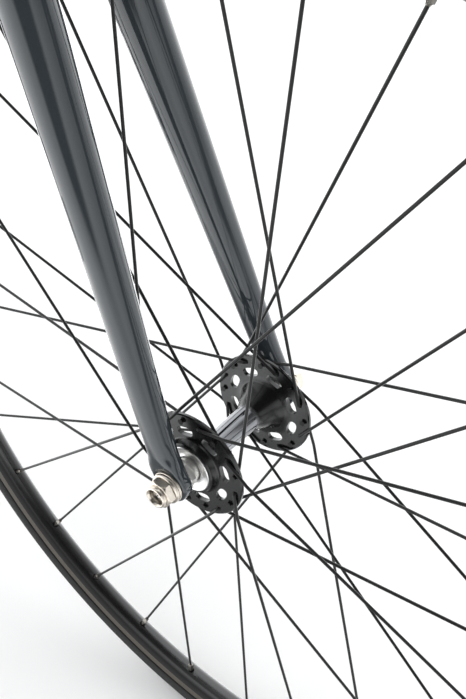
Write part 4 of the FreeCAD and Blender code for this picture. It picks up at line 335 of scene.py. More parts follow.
PAINT = paint()
ALLOY = anodised("black_alloy")
ALLOY_DULL = anodised("black_alloy_dull", 0.018, (0.40, 0.52))
HUB_F = turned_black("front_hub_black", FRONT, 0.0045, (0.17, 0.25), level=0.42, barrel=0.0150)
HUB_R = turned_black("rear_hub_black", REAR, 0.0045, (0.17, 0.25), level=0.42, barrel=0.0130)
RIM_F, RIM_R = rim_black("front_rim_black", FRONT), rim_black("rear_rim_black", REAR)
CRANK = turned_black("crank_black", BB, 0.016, (0.22, 0.32))
STEEL = bright("bright_steel")
WARM = bright("nut_nickel", (0.645, 0.590, 0.520), (0.25, 0.35), 0.025)
CHROME = bright("chrome_cap", (0.680, 0.678, 0.664), (0.29, 0.39), 0.02)
CONE = bright("ground_cone", (0.900, 0.890, 0.860), (0.44, 0.54), 0.02)
NIPPLE = bright("nipple_plate", (0.26, 0.245, 0.22), (0.22, 0.36), 0.05)
SPOKE = spoke_black()
CHAIN = oiled_steel("chain_steel")
COG = oiled_steel("cog_steel", (0.42, 0.40, 0.37))
TYRE_F, TYRE_R = tyre_rubber("front_tyre_rubber", FRONT), tyre_rubber("rear_tyre_rubber", REAR)
LEATHER = leather()
TAPE = cork_tape()
PLASTIC = moulded("black_plastic")
PEDAL = moulded("pedal_black", 0.020)
TUBE = soft_rubber()

LOOK = {}
for n in ("head_tube", "top_tube", "down_tube", "seat_tube", "bottom_bracket_shell", "chainstays", "seatstays", "track_ends", "fork_crown", "fork_blades"):
    LOOK[n] = PAINT
for n in ("headset_cups", "headset_spacers", "stem", "stem_faceplate", "top_cap", "handlebar", "seatpost", "saddle_clamp", "seat_clamp"):
    LOOK[n] = ALLOY
for n in ("crank_arm_right", "crank_arm_left", "chainring"):
    LOOK[n] = CRANK
for n in ("fork_steerer", "headset_bearings", "bottom_bracket_cups", "crank_spindle", "crank_bolts", "stem_bolts", "pedal_axles", "rear_axle", "rear_cones", "front_axle",
          "rear_lockring"):
    LOOK[n] = STEEL
LOOK.update({"front_hub_shell": HUB_F, "rear_hub_shell": HUB_R, "front_rim": RIM_F, "rear_rim": RIM_R, "front_spokes": SPOKE, "rear_spokes": SPOKE,
             "front_nipples": NIPPLE, "rear_nipples": NIPPLE, "front_axle_nuts": WARM, "rear_axle_nuts": WARM, "front_cones": CONE, "front_dust_caps": CHROME,
             "front_hub_balls": CHROME, "rear_hub_balls": CHROME, "rear_cog": COG, "chain": CHAIN, "front_tyre": TYRE_F, "rear_tyre": TYRE_R,
             "front_inner_tube": TUBE, "rear_inner_tube": TUBE, "bar_tape": TAPE, "bar_end_plugs": PLASTIC, "saddle_rails": ALLOY_DULL, "saddle_shell": PLASTIC,
             "saddle_cover": LEATHER, "pedal_right_body": PEDAL, "pedal_left_body": PEDAL})

for name, obj in NODES.items():
    me = obj.data
    me.materials.clear()
    me.materials.append(LOOK[name])
    for p in me.polygons:
        p.use_smooth = True
        p.material_index = 0
    weld = obj.modifiers.new("weld", "WELD")
    weld.merge_threshold = 0.000002
    split = obj.modifiers.new("crease", "EDGE_SPLIT")
    split.split_angle = math.radians(28.0)
    split.use_edge_sharp = False
    if me.has_custom_normals:
        with bpy.context.temp_override(object=obj, active_object=obj, selected_objects=[obj], mesh=me):
            bpy.ops.mesh.customdata_custom_splitnormals_clear()


# =========================== meshes =======================================================
def mesh_piece(name, verts, faces, mat, body, slot, nodes=(), angle=32.0):
    me = bpy.data.meshes.new(name)
    me.from_pydata([tuple(v) for v in verts], [], faces)
    me.validate()
    me.materials.append(mat)
    for p in me.polygons:
        p.use_smooth = True
    me.set_sharp_from_angle(angle=math.radians(angle))
    me.update()
    o = bpy.data.objects.new(name, me)
    bpy.context.scene.collection.objects.link(o)
    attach(o, body)
    if nodes:
        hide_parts(*nodes)
    return o


def ring_mesh(profile, centre, seg, shape=None):
    """A closed profile (radius mm, y mm) turned about Y through centre; shape may move a point by (step, index)."""
    k = len(profile)
    verts, faces = [], []
    for i in range(seg):
        a = 2.0 * math.pi * i / seg
        ca, sa = math.cos(a), math.sin(a)
        for j, (r, y) in enumerate(profile):
            if shape is not None:
                r, y = shape(i, j, r, y)
            verts.append((centre.x + r * MM * ca, centre.y + y * MM, centre.z + r * MM * sa))
    for i in range(seg):
        i2 = (i + 1) % seg
        for j in range(k):
            j2 = (j + 1) % k
            faces.append((i * k + j, i2 * k + j, i2 * k + j2, i * k + j2))
    return verts, faces


def tyre(prefix, centre, mat):
    """A narrow road tyre: round tread with a fine file pattern on its shoulders, thin side walls and beads."""
    pts, tags = [], []

    def add(r, y, tag=0):
        pts.append((r, y))
        tags.append(tag)
    cr, sec = 324.3, 12.15
    # outer skin from the left bead over the tread to the right bead
    add(315.2, 6.9)
    add(317.3, 6.95)
    add(317.7, 8.6)
    for a in range(-34, 215, 4):
        t = math.radians(a)
        y, r = sec * math.cos(t), cr + sec * math.sin(t)
        if r < 317.9:
            continue
        tag = 0
        if 38 <= a <= 142:
            grow = 0.12
            r += grow * math.sin(t) if a not in (38, 142) else 0.0
            tag = 1 if (46 <= a <= 70 or 110 <= a <= 134) and a % 8 == 6 else 0
        add(min(r, 336.46), y, tag)
    add(317.7, -8.6)
    add(317.3, -6.95)
    add(315.2, -6.9)
    add(314.3, -5.6)
    add(315.6, -4.7)
    for a in range(208, -29, -12):
        t = math.radians(a)
        add(324.6 + 9.95 * math.sin(t), 9.95 * math.cos(t))
    add(315.6, 4.7)
    add(314.3, 5.6)

    def shape(i, j, r, y):
        if tags[j] and i % 2 == 0:
            return r - 0.22, y * 0.988
        return r, y
    verts, faces = ring_mesh(pts, centre, 720, shape)
    return mesh_piece(prefix + "_tyre_skin", verts, faces, mat, prefix + "_wheel", "tyre", (prefix + "_tyre",), 50.0)


tyre("front", FRONT, TYRE_F)
tyre("rear", REAR, TYRE_R)

def smooth01(x, lo, hi):
    t = min(1.0, max(0.0, (x - lo) / (hi - lo)))
    return t * t * (3.0 - 2.0 * t)


def through(rows, x):
    """Smooth monotone curve through (x, value) rows, x rising."""
    xs = [r[0] for r in rows]
    ys = [r[1] for r in rows]
    x = min(max(x, xs[0]), xs[-1])
    k = max(i for i in range(len(xs) - 1) if xs[i] <= x)
    d = [(ys[i + 1] - ys[i]) / (xs[i + 1] - xs[i]) for i in range(len(xs) - 1)]

    def slope(i):
        if i in (0, len(xs) - 1):
            return d[min(i, len(d) - 1)]
        a, b = d[i - 1], d[i]
        return 0.0 if a * b <= 0 else 2.0 * a * b / (a + b)
    w = xs[k + 1] - xs[k]
    t = (x - xs[k]) / w
    return ((2 * t ** 3 - 3 * t ** 2 + 1) * ys[k] + (t ** 3 - 2 * t ** 2 + t) * w * slope(k)
            + (-2 * t ** 3 + 3 * t ** 2) * ys[k + 1] + (t ** 3 - t ** 2) * w * slope(k + 1))


# --- fork blades: oval tubes that run on into forged ends, hollowed round the axle nut -----
# height along the steerer, then fore-aft place, distance from the centre plane, half depth, half width (mm)
BLADE = [(0.0, 0.0, 54.6, 11.9, 4.4), (5.0, -0.6, 54.8, 11.75, 4.72), (10.0, -1.25, 55.05, 11.4, 5.3), (15.0, -1.8, 54.75, 10.95, 6.35), (21.0, -2.35, 54.15, 10.4, 7.35),
         (30.0, -3.1, 53.4, 9.85, 8.0), (60.0, -5.9, 51.1, 10.6, 8.95), (100.0, -9.5, 47.95, 11.6, 10.15), (150.0, -14.0, 44.0, 12.85, 11.7),
         (205.0, -19.0, 39.7, 14.25, 13.35), (262.0, -24.15, 35.4, 15.7, 14.9), (310.0, -28.9, 33.0, 16.6, 15.6), (346.0, -33.2, 32.4, 17.1, 15.6)]
QUARTER = 24


def blade_loop(z):
    """One section of the right blade as (x, outward) points: from the middle of the outer face round by the front."""
    x0, v0, a, c = (through([(r[0], r[k]) for r in BLADE], z) for k in (1, 2, 3, 4))
    power = 2.0 / (2.0 + 4.0 * (1.0 - smooth01(z, 1.0, 22.0)))
    fine = [(a * math.sin(t) ** power, c * math.cos(t) ** power) for t in (0.5 * math.pi * (i / 240.0) for i in range(241))]
    fine[-1] = (a, 0.0)
    run = [0.0]
    for p0, p1 in zip(fine, fine[1:]):
        run.append(run[-1] + math.hypot(p1[0] - p0[0], p1[1] - p0[1]))
    quarter, k = [], 0
    for i in range(QUARTER + 1):
        want = run[-1] * i / QUARTER
        while k < 239 and run[k + 1] < want:
            k += 1
        t = (want - run[k]) / (run[k + 1] - run[k])
        quarter.append((fine[k][0] + (fine[k + 1][0] - fine[k][0]) * t, fine[k][1] + (fine[k + 1][1] - fine[k][1]) * t))
    half = quarter + [(x, -v) for x, v in quarter[-2::-1]]
    loop = half + [(-x, v) for x, v in half[-2:0:-1]]
    return [(x0 + x, v0 + v) for x, v in loop]


def soft_min(a, b, k):
    h = max(k - abs(a - b), 0.0) / k
    return min(a, b) - h * h * k * 0.25


def seat_round(x, v, z):
    """Keep the blade off the nut's washer outside and the cone's locknut inside."""
    def rise(r0):
        s = max(0.0, math.hypot(x, z) - r0)
        return 1.6 * s * s / (s + 0.5)
    if v > 54.0:
        return soft_min(v, 59.0 + rise(11.0), 0.4)
    return -soft_min(-v, -50.0 + rise(9.2), 0.3)


def blade_mesh():
    ring = 4 * QUARTER
    heights = [0.55 * i for i in range(64)] + [36.0 + 4.0 * i for i in range(7)] + [66.0 + 7.0 * i for i in range(40)] + [346.0]
    verts, faces = [], []
    for z in heights:
        verts += [(x, seat_round(x, v, z), z) for x, v in blade_loop(z)]
    for i in range(len(heights) - 1):
        for j in range(ring):
            k = (j + 1) % ring
            faces.append((i * ring + j, i * ring + k, (i + 1) * ring + k, (i + 1) * ring + j))
    top = (len(heights) - 1) * ring
    faces.append(tuple(top + j for j in range(ring)))
    # the round end below the axle: half of the lowest section, turned about the axle
    half = 2 * QUARTER
    turns = 44
    rows = [list(range(half + 1))]
    for i in range(1, turns):
        a = math.pi * i / turns
        row = [0]
        for j in range(1, half):
            x, v, _ = verts[j]
            row.append(len(verts))
            verts.append((x * math.cos(a), v, -x * math.sin(a)))
        rows.append(row + [half])
    rows.append([(ring - j) % ring for j in range(half + 1)])
    for r0, r1 in zip(rows, rows[1:]):
        for j in range(half):
            face = []
            for v in (r0[j], r1[j], r1[j + 1], r0[j + 1]):
                if v not in face:
                    face.append(v)
            faces.append(tuple(face))
    return verts, faces


def minus(verts, faces, tool_verts, tool_faces):
    """The first closed mesh with the second one cut out of it."""
    made = []
    for tag, vs, fs in (("whole", verts, faces), ("tool", tool_verts, tool_faces)):
        me = bpy.data.meshes.new(tag)
        me.from_pydata([tuple(v) for v in vs], [], fs)
        bm = bmesh.new()
        bm.from_mesh(me)
        bmesh.ops.recalc_face_normals(bm, faces=bm.faces[:])
        bm.to_mesh(me)
        bm.free()
        o = bpy.data.objects.new(tag, me)
        bpy.context.scene.collection.objects.link(o)
        made.append(o)
    mod = made[0].modifiers.new("cut", "BOOLEAN")
    mod.operation, mod.solver, mod.object = "DIFFERENCE", "EXACT", made[1]
    got = bpy.data.meshes.new_from_object(made[0].evaluated_get(bpy.context.evaluated_depsgraph_get()))
    out = [v.co.copy() for v in got.vertices], [tuple(p.vertices) for p in got.polygons]
    for o in made:
        me = o.data
        bpy.data.objects.remove(o)
        bpy.data.meshes.remove(me)
    bpy.data.meshes.remove(got)
    return out


# the slot that the axle drops into, round at its top and open below
slot_side = [(4.6 * math.cos(math.pi * i / 24), 4.6 * math.sin(math.pi * i / 24)) for i in range(25)] + [(-4.6, -30.0), (4.6, -30.0)]
lean = math.radians(-16.0)
slot_side = [(x * math.cos(lean) - z * math.sin(lean), x * math.sin(lean) + z * math.cos(lean)) for x, z in slot_side]
count = len(slot_side)
slot_verts = [(x, 40.0, z) for x, z in slot_side] + [(x, 66.0, z) for x, z in slot_side]
slot_faces = [tuple(range(count)), tuple(range(2 * count - 1, count - 1, -1))] + [(i, (i + 1) % count, count + (i + 1) % count, count + i) for i in range(count)]
one_v, one_f = minus(*blade_mesh(), slot_verts, slot_faces)
blade_v, blade_f = [], []
for side in (-1, 1):
    base = len(blade_v)
    blade_v += [fork_pt(p[0], side * p[1], p[2]) for p in one_v]
    blade_f += [tuple(base + i for i in (f if side > 0 else f[::-1])) for f in one_f]
mesh_piece("fork_blade_pair", blade_v, blade_f, PAINT, "fork", "paint", ("fork_blades",), angle=38.0)


# --- front axle and its nuts: washer, collar, hexagon and a round nose with a hollow end -----
def outward(verts, faces):
    """The same closed mesh with every face turned outwards."""
    me = bpy.data.meshes.new("turned")
    me.from_pydata([tuple(v) for v in verts], [], faces)
    bm = bmesh.new()
    bm.from_mesh(me)
    bmesh.ops.recalc_face_normals(bm, faces=bm.faces[:])
    bm.to_mesh(me)
    bm.free()
    out = [v.co.copy() for v in me.vertices], [tuple(f.vertices) for f in me.polygons]
    bpy.data.meshes.remove(me)
    return out


HEX_FLAT, HEX_SPIN, NUT_SEG = 8.3, -2.5, 144
# radius, distance from the centre plane, and whether the hexagon limits the radius there
NUT = [(5.0, 59.0, 0), (9.9, 59.0, 0), (10.2, 59.15, 0), (10.3, 59.45, 0), (10.3, 60.25, 0), (10.2, 60.5, 0), (9.95, 60.65, 0), (9.35, 60.7, 0), (9.35, 60.85, 0),
       (9.8, 60.9, 0), (9.98, 61.1, 0), (10.0, 61.4, 0), (9.95, 62.2, 0), (9.7, 62.7, 0), (9.3, 63.05, 0), (8.9, 63.2, 0), (8.0, 63.25, 0), (7.7, 63.35, 0),
       (7.7, 63.55, 0), (8.9, 63.6, 1), (9.35, 63.75, 1), (9.6, 64.0, 1), (9.6, 65.5, 1), (9.6, 67.2, 1), (9.42, 67.5, 1), (9.2, 67.8, 1), (8.96, 68.05, 1),
       (8.72, 68.3, 1), (8.45, 68.52, 1), (8.1, 68.7, 1), (7.5, 68.8, 0), (7.0, 68.85, 0), (6.9, 68.95, 0), (6.95, 69.15, 0), (7.1, 69.35, 0), (7.12, 70.2, 0),
       (7.05, 70.7, 0), (6.9, 71.1, 0), (6.65, 71.4, 0), (6.35, 71.55, 0), (6.0, 71.6, 0), (5.75, 71.5, 0), (5.45, 71.15, 0), (5.15, 70.7, 0), (5.0, 70.4, 0)]


def hex_limit(i, j, r, y):
    if not NUT[j][2]:
        return r, y
    a = (360.0 * i / NUT_SEG - HEX_SPIN) % 60.0 - 30.0
    return min(r, HEX_FLAT / math.cos(math.radians(a))), y


nut_v, nut_f = [], []
for side in (-1, 1):
    vs, fs = outward(*ring_mesh([(r, side * y) for r, y, _ in NUT], FRONT, NUT_SEG, hex_limit))
    nut_f += [tuple(len(nut_v) + i for i in f) for f in fs]
    nut_v += vs
mesh_piece("front_nut_pair", nut_v, nut_f, WARM, "fork", "bright_steel", ("front_axle_nuts",), angle=24.0)

half_axle = [(0.25, 67.3), (1.7, 68.4), (3.7, 68.4), (4.15, 68.1), (4.5, 67.6)]
for k in range(17):                                    # thread crests and roots behind the end
    half_axle += [(4.5, 67.3 - 1.0 * k), (4.12, 66.85 - 1.0 * k), (4.12, 66.7 - 1.0 * k)]
half_axle.append((4.5, 50.2))
axle_line = [(r, -y) for r, y in half_axle] + half_axle[::-1]
rows, seg = len(axle_line), 48
axle_v = [(FRONT.x + r * MM * math.cos(2 * math.pi * i / seg), y * MM, FRONT.z + r * MM * math.sin(2 * math.pi * i / seg)) for r, y in axle_line for i in range(seg)]
axle_f = [(j * seg + i, j * seg + (i + 1) % seg, (j + 1) * seg + (i + 1) % seg, (j + 1) * seg + i) for j in range(rows - 1) for i in range(seg)]
axle_f += [tuple(range(seg)), tuple(range((rows - 1) * seg, rows * seg))]
mesh_piece("front_axle_rod", *outward(axle_v, axle_f), STEEL, "fork", "bright_steel", ("front_axle",), angle=24.0)


# --- bar tape: one strip wound along each drop, every turn lapping the one before ----------
BAR_AT = Vector((380.55, 0.0, 881.53))
BAR_TURN = Matrix.Rotation(math.radians(4.0), 3, "Y")


def bar_run(side, start):
    pts = [(0, start, 0), (0, 150, 0), (8, 192, -2), (62, 196, -12), (112, 197, -42), (112, 198, -104), (62, 199, -134), (-46, 200, -140)]
    return [BAR_AT + BAR_TURN @ Vector((x, side * y, z)) for x, y, z in pts]


def rounded_run(pts, radii, step):
    """Points along straight runs joined by arcs, about step apart."""
    out, prev = [pts[0].copy()], pts[0]

    def line_to(q):
        a = out[-1].copy()
        n = max(1, int(round((q - a).length / step)))
        for i in range(1, n + 1):
            out.append(a.lerp(q, i / n))
    for i in range(1, len(pts) - 1):
        p = pts[i]
        u, v = (pts[i - 1] - p).normalized(), (pts[i + 1] - p).normalized()
        half = u.angle(v) / 2.0
        r = radii[i - 1]
        t = r / math.tan(half)
        a, b = p + u * t, p + v * t
        c = p + (u + v).normalized() * (r / math.sin(half))
        line_to(a)
        sweep_angle = math.pi - 2.0 * half
        axis = (a - c).cross(b - c).normalized()
        n = max(2, int(round(r * sweep_angle / step)))
        for k in range(1, n + 1):
            out.append(c + Matrix.Rotation(sweep_angle * k / n, 3, axis) @ (a - c))
    line_to(pts[-1])
    return out


class Run:
    """A path with a frame that doesn't twist, read by distance along it."""

    def __init__(self, pts):
        self.p = pts
        self.s = [0.0]
        for a, b in zip(pts, pts[1:]):
            self.s.append(self.s[-1] + (b - a).length)
        self.t = [(pts[min(i + 1, len(pts) - 1)] - pts[max(i - 1, 0)]).normalized() for i in range(len(pts))]
        n = self.t[0].cross(Vector((0.3, 0.1, 1.0))).normalized()
        self.n = []
        for t in self.t:
            n = (n - t * n.dot(t)).normalized()
            self.n.append(n.copy())
        self.length = self.s[-1]
        self.k = 0

    def at(self, d, phi, r):
        d = min(max(d, 0.0), self.length)
        k = min(self.k, len(self.s) - 2)
        while k > 0 and self.s[k] > d:
            k -= 1
        while k < len(self.s) - 2 and self.s[k + 1] < d:
            k += 1
        self.k = k
        f = (d - self.s[k]) / (self.s[k + 1] - self.s[k])
        p = self.p[k].lerp(self.p[k + 1], f)
        t = self.t[k].lerp(self.t[k + 1], f).normalized()
        n = self.n[k].lerp(self.n[k + 1], f)
        n = (n - t * n.dot(t)).normalized()
        b = t.cross(n)
        return (p + (n * math.cos(phi) + b * math.sin(phi)) * r) * MM


def wound_tape(side, tag):
    run = Run(rounded_run(bar_run(side, 78.0), [26, 30, 38, 40, 40, 40], 1.5))
    cols, per, pitch, end_r = 48, 18, 21.0, 13.7
    step = pitch / per
    rows = int(math.ceil(run.length / step)) + per + 2
    grid = {}
    verts, faces = [], []
    index = {}

    def vert(co):
        key = tuple(round(c, 7) for c in co)
        if key not in index:
            index[key] = len(verts)
            verts.append(tuple(co))
        return index[key]
    for j in range(cols):
        run.k = 0
        for i in range(rows):
            d = (i - per) * step + pitch * j / cols
            h = (i % per) / per
            # each turn climbs over the one before and ends in a rounded edge
            lift = 13.25 + 1.15 * smooth01(h, -0.15, 0.80) if h < 0.90 else 13.25 + 1.15 * (1.0 - smooth01(h, 0.88, 1.0)) * 0.96
            lift += 0.05 * math.sin(3.0 * 2 * math.pi * j / cols + i * 0.07) * math.sin(i * 0.045 + side)
            inside = min(d, run.length - d)
            r = end_r + (lift - end_r) * smooth01(inside, 0.4, 5.0)
            phi = side * 2.0 * math.pi * j / cols
            grid[i, j] = vert(run.at(d, phi, r if 0.0 < d < run.length else end_r))
    for i in range(rows - 1):
        for j in range(cols):
            if j < cols - 1:
                quad = (grid[i, j], grid[i + 1, j], grid[i + 1, j + 1], grid[i, j + 1])
            else:
                if i + per + 1 >= rows:
                    continue
                quad = (grid[i, j], grid[i + 1, j], grid[i + 1 + per, 0], grid[i + per, 0])
            ring = []
            for q in quad:
                if q not in ring:
                    ring.append(q)
            if len(ring) >= 3:
                faces.append(tuple(ring if side < 0 else reversed(ring)))
    # inner skin against the bar, and the two ends
    first = [vert(run.at(0.0, side * 2.0 * math.pi * j / cols, end_r)) for j in range(cols)]
    last = [vert(run.at(run.length, side * 2.0 * math.pi * j / cols, end_r)) for j in range(cols)]
    n_in = int(run.length / 6.0)
    inner = []
    for i in range(n_in + 1):
        inner.append([vert(run.at(run.length * i / n_in, side * 2.0 * math.pi * j / cols, 12.05)) for j in range(cols)])
    shells = [first] + inner + [last]
    for a, b in zip(shells, shells[1:]):
        for j in range(cols):
            j2 = (j + 1) % cols
            quad = (a[j], a[j2], b[j2], b[j])
            faces.append(quad if side < 0 else tuple(reversed(quad)))
    return run, verts, faces


def swept_ring(run, profile, cols=56):
    """A closed profile (distance, radius) swept round the path."""
    verts, faces = [], []
    k = len(profile)
    for j in range(cols):
        for d, r in profile:
            # a little past the start of the run the bar is straight
            phi = 2.0 * math.pi * j / cols
            base = run.at(max(d, 0.0), phi, r)
            if d < 0:
                base = base + run.t[0] * (d * MM)
            verts.append(base)
    for j in range(cols):
        j2 = (j + 1) % cols
        for i in range(k):
            i2 = (i + 1) % k
            faces.append((j * k + i, j2 * k + i, j2 * k + i2, j * k + i2))
    return verts, faces


BAND = moulded("finish_band", 0.014)
tape_runs = []
tape_verts, tape_faces = [], []
for side, tag in ((-1, "right"), (1, "left")):
    run, v, f = wound_tape(side, tag)
    off = len(tape_verts)
    tape_verts += v
    tape_faces += [tuple(i + off for i in q) for q in f]
    bv, bf = swept_ring(run, [(-2.4, 12.05), (-2.4, 13.3), (-1.9, 13.85), (-0.6, 14.2), (1.5, 14.55), (13.0, 14.62), (14.2, 14.5), (14.6, 14.0), (14.6, 13.4), (3.0, 13.0), (0.0, 12.1)])
    mesh_piece("finish_band_" + tag, bv, bf, BAND, "fork", "tape", angle=40.0)
mesh_piece("bar_tape_wrap", tape_verts, tape_faces, TAPE, "fork", "tape", ("bar_tape",), 48.0)


# --- saddle: a padded skin drawn over the shell and tucked under its edge ------------------
SAD_X, SAD_Z = -268.1344, 923.7075
TOP = [(-137, 22.0), (-122, 24.6), (-95, 23.6), (-50, 20.2), (0, 19.2), (50, 19.4), (100, 16.6), (126, 11.5), (137, 8.0)]


def saddle_edge(count):
    """Half of the plan outline, tail to nose, evenly spaced."""
    ctrl = [(-135.6, -16.0), (-135.6, 0.0), (-135.6, 16.0), (-135.3, 32.0), (-133.6, 42.5), (-128.5, 54.0), (-120.0, 63.6), (-108.0, 69.6), (-95.0, 71.4), (-75.0, 69.0), (-50.0, 62.2),
            (-25.0, 51.6), (0.0, 41.2), (25.0, 32.2), (50.0, 26.2), (75.0, 22.8), (100.0, 20.2), (116.0, 18.4), (127.0, 16.0), (132.8, 11.4), (135.4, 5.6), (136.0, 0.0), (135.4, -5.6)]
    dense = []
    for i in range(1, len(ctrl) - 2):
        p0, p1, p2, p3 = (Vector(c) for c in ctrl[i - 1:i + 3])
        for k in range(24):
            t = k / 24.0
            dense.append(0.5 * ((2 * p1) + (p2 - p0) * t + (2 * p0 - 5 * p1 + 4 * p2 - p3) * t * t + (3 * p1 - p0 - 3 * p2 + p3) * t ** 3))
    dense.append(Vector(ctrl[-2]))
    acc = [0.0]
    for a, b in zip(dense, dense[1:]):
        acc.append(acc[-1] + (b - a).length)
    out, k = [], 0
    for i in range(count + 1):
        d = acc[-1] * i / count
        while k < len(acc) - 2 and acc[k + 1] < d:
            k += 1
        f = (d - acc[k]) / (acc[k + 1] - acc[k])
        out.append(dense[k].lerp(dense[k + 1], min(1.0, f)))
    out[0].y = out[-1].y = 0.0
    return out


half_edge = saddle_edge(150)
edge = half_edge + [Vector((p.x, -p.y)) for p in reversed(half_edge[1:-1])]
EN = len(edge)
edge_in = []
for i in range(EN):
    t = (edge[(i + 1) % EN] - edge[i - 1]).normalized()
    edge_in.append(Vector((-t.y, t.x)) * -1.0)
if sum((edge[i] + edge_in[i] * 5).length < edge[i].length for i in range(EN)) < EN / 2:
    edge_in = [-v for v in edge_in]


def saddle_top(i, tau, lift=0.0):
    """Point on the padded top: tau 0 at the edge, 1 on the middle line."""
    e = edge[i]
    p = 2.0 / 2.35
    s = math.cos(tau * math.pi / 2.0) ** p if tau < 1.0 else 0.0
    zf = math.sin(tau * math.pi / 2.0) ** p if tau > 0.0 else 0.0
    sx = min(max(e.x, -74.0), 116.0)
    x, y = sx + (e.x - sx) * s, e.y * s
    z = through(TOP, x) * zf
    # pressure channel along the middle, seam groove near the edge, gathers beside the seam
    z -= 3.1 * math.exp(-(y / 8.5) ** 2) * smooth01(x, -112.0, -84.0) * (1.0 - smooth01(x, 22.0, 78.0)) * zf
    z -= 0.85 * math.exp(-((s - 0.83) / 0.020) ** 2)
    gather = math.sin(i * 2.0 * math.pi / EN * 46.0 + 1.3 * math.sin(i * 0.09)) * math.exp(-((s - 0.77) / 0.05) ** 2)
    z += 0.16 * gather * (0.6 + 0.4 * math.sin(i * 0.031))
    z += 0.20 * math.sin(x * 0.045 + 1.0) * math.sin(y * 0.060) * zf
    return Vector((SAD_X + x, y, SAD_Z + z + lift))


sv, sf, sidx = [], [], {}


def sad_vert(co):
    key = (round(co.x, 4), round(co.y, 4), round(co.z, 4))
    if key not in sidx:
        sidx[key] = len(sv)
        sv.append(co * MM)
    return sidx[key]


RINGS = 56
under = [(1.5, 0.30), (1.5, -3.6), (1.15, -4.5), (0.55, -4.7), (0.1, -4.1), (-0.25, -2.6), (-0.15, -1.0)]
loops = []
for inset, z in under:
    loops.append([sad_vert(Vector((SAD_X + edge[i].x + edge_in[i].x * inset, edge[i].y + edge_in[i].y * inset, SAD_Z + z))) for i in range(EN)])
for k in range(RINGS + 1):
    tau = (k / RINGS) ** 1.15
    loops.append([sad_vert(saddle_top(i, tau)) for i in range(EN)])
mid = [sad_vert(Vector((SAD_X + min(max(edge[i].x, -74.0), 116.0), 0.0, SAD_Z + 0.30))) for i in range(EN)]
loops.insert(0, mid)
for a, b in zip(loops, loops[1:]):
    for i in range(EN):
        i2 = (i + 1) % EN
        ring = []
        for q in (a[i], a[i2], b[i2], b[i]):
            if q not in ring:
                ring.append(q)
        if len(ring) >= 3:
            sf.append(tuple(ring))
cover = mesh_piece("saddle_skin", sv, sf, LEATHER, "frame", "saddle_skin", ("saddle_cover",), 60.0)


def loop_tube(centres, r, cols=10):
    """A closed round cord through the points."""
    n = len(centres)
    verts, faces = [], []
    for i in range(n):
        t = (centres[(i + 1) % n] - centres[i - 1]).normalized()
        side = t.cross(Vector((0, 0, 1))).normalized()
        upv = side.cross(t).normalized()
        for j in range(cols):
            a = 2 * math.pi * j / cols
            verts.append((centres[i] + (side * math.cos(a) + upv * math.sin(a)) * r) * MM)
    for i in range(n):
        i2 = (i + 1) % n
        for j in range(cols):
            j2 = (j + 1) % cols
            faces.append((i * cols + j, i * cols + j2, i2 * cols + j2, i2 * cols + j))
    return verts, faces


cv, cf = loop_tube([saddle_top(i, 0.0) + Vector((0, 0, 0.3)) - Vector((edge_in[i].x, edge_in[i].y, 0)) * 0.15 for i in range(EN)], 1.0)
mesh_piece("saddle_piping", cv, cf, LEATHER, "frame", "saddle_skin")


def stitches(tau, length, gap, r):
    pts = [saddle_top(i, tau, 0.18) for i in range(EN)]
    acc = [0.0]
    for i in range(EN):
        acc.append(acc[-1] + (pts[(i + 1) % EN] - pts[i]).length)
    total = acc[-1]
    count = int(total / (length + gap))
    verts, faces, k = [], [], 0
    for m in range(count):
        d = total * (m + 0.5) / count
        while k < EN - 1 and acc[k + 1] < d:
            k += 1
        a, b = pts[k], pts[(k + 1) % EN]
        c = a.lerp(b, (d - acc[k]) / (acc[k + 1] - acc[k]))
        t = (b - a).normalized()
        side = t.cross(Vector((0, 0, 1))).normalized()
        upv = side.cross(t)
        off = len(verts)
        shape = [(-0.5, 0.15), (-0.42, 0.7), (-0.2, 1.0), (0.2, 1.0), (0.42, 0.7), (0.5, 0.15)]
        for q, w in shape:
            for j in range(6):
                an = 2 * math.pi * j / 6
                verts.append((c + t * (q * length) + (side * math.cos(an) + upv * math.sin(an)) * (r * w)) * MM)
        for q in range(5):
            for j in range(6):
                j2 = (j + 1) % 6
                faces.append((off + q * 6 + j, off + q * 6 + j2, off + (q + 1) * 6 + j2, off + (q + 1) * 6 + j))
        faces.append(tuple(off + j for j in reversed(range(6))))
        faces.append(tuple(off + 30 + j for j in range(6)))
    return verts, faces


THREAD = moulded("saddle_thread", 0.045)
tv, tf = stitches(0.30, 2.7, 1.3, 0.34)
mesh_piece("saddle_stitching", tv, tf, THREAD, "frame", "saddle_skin", angle=60.0)


# =========================== stage =========================================================
CAM_POS = FRONT + Vector((0.247645, -0.317479, 0.364769))
CAM_R, CAM_U, CAM_B = Vector((0.7904, 0.6126, 0.0)), Vector((-0.3661, 0.4723, 0.8018)), Vector((0.4912, -0.6337, 0.5976))
cam_data = bpy.data.cameras.new("camera")
cam_data.sensor_fit = "AUTO"
cam_data.sensor_width = 36.0
cam_data.lens = 44.42
cam_data.clip_start, cam_data.clip_end = 0.01, 100.0
cam = bpy.data.objects.new("camera", cam_data)
bpy.context.scene.collection.objects.link(cam)
rot = Matrix((CAM_R.normalized(), CAM_U.normalized(), CAM_B.normalized())).transposed().to_4x4()
cam.matrix_world = Matrix.Translation(CAM_POS) @ rot
bpy.context.scene.camera = cam


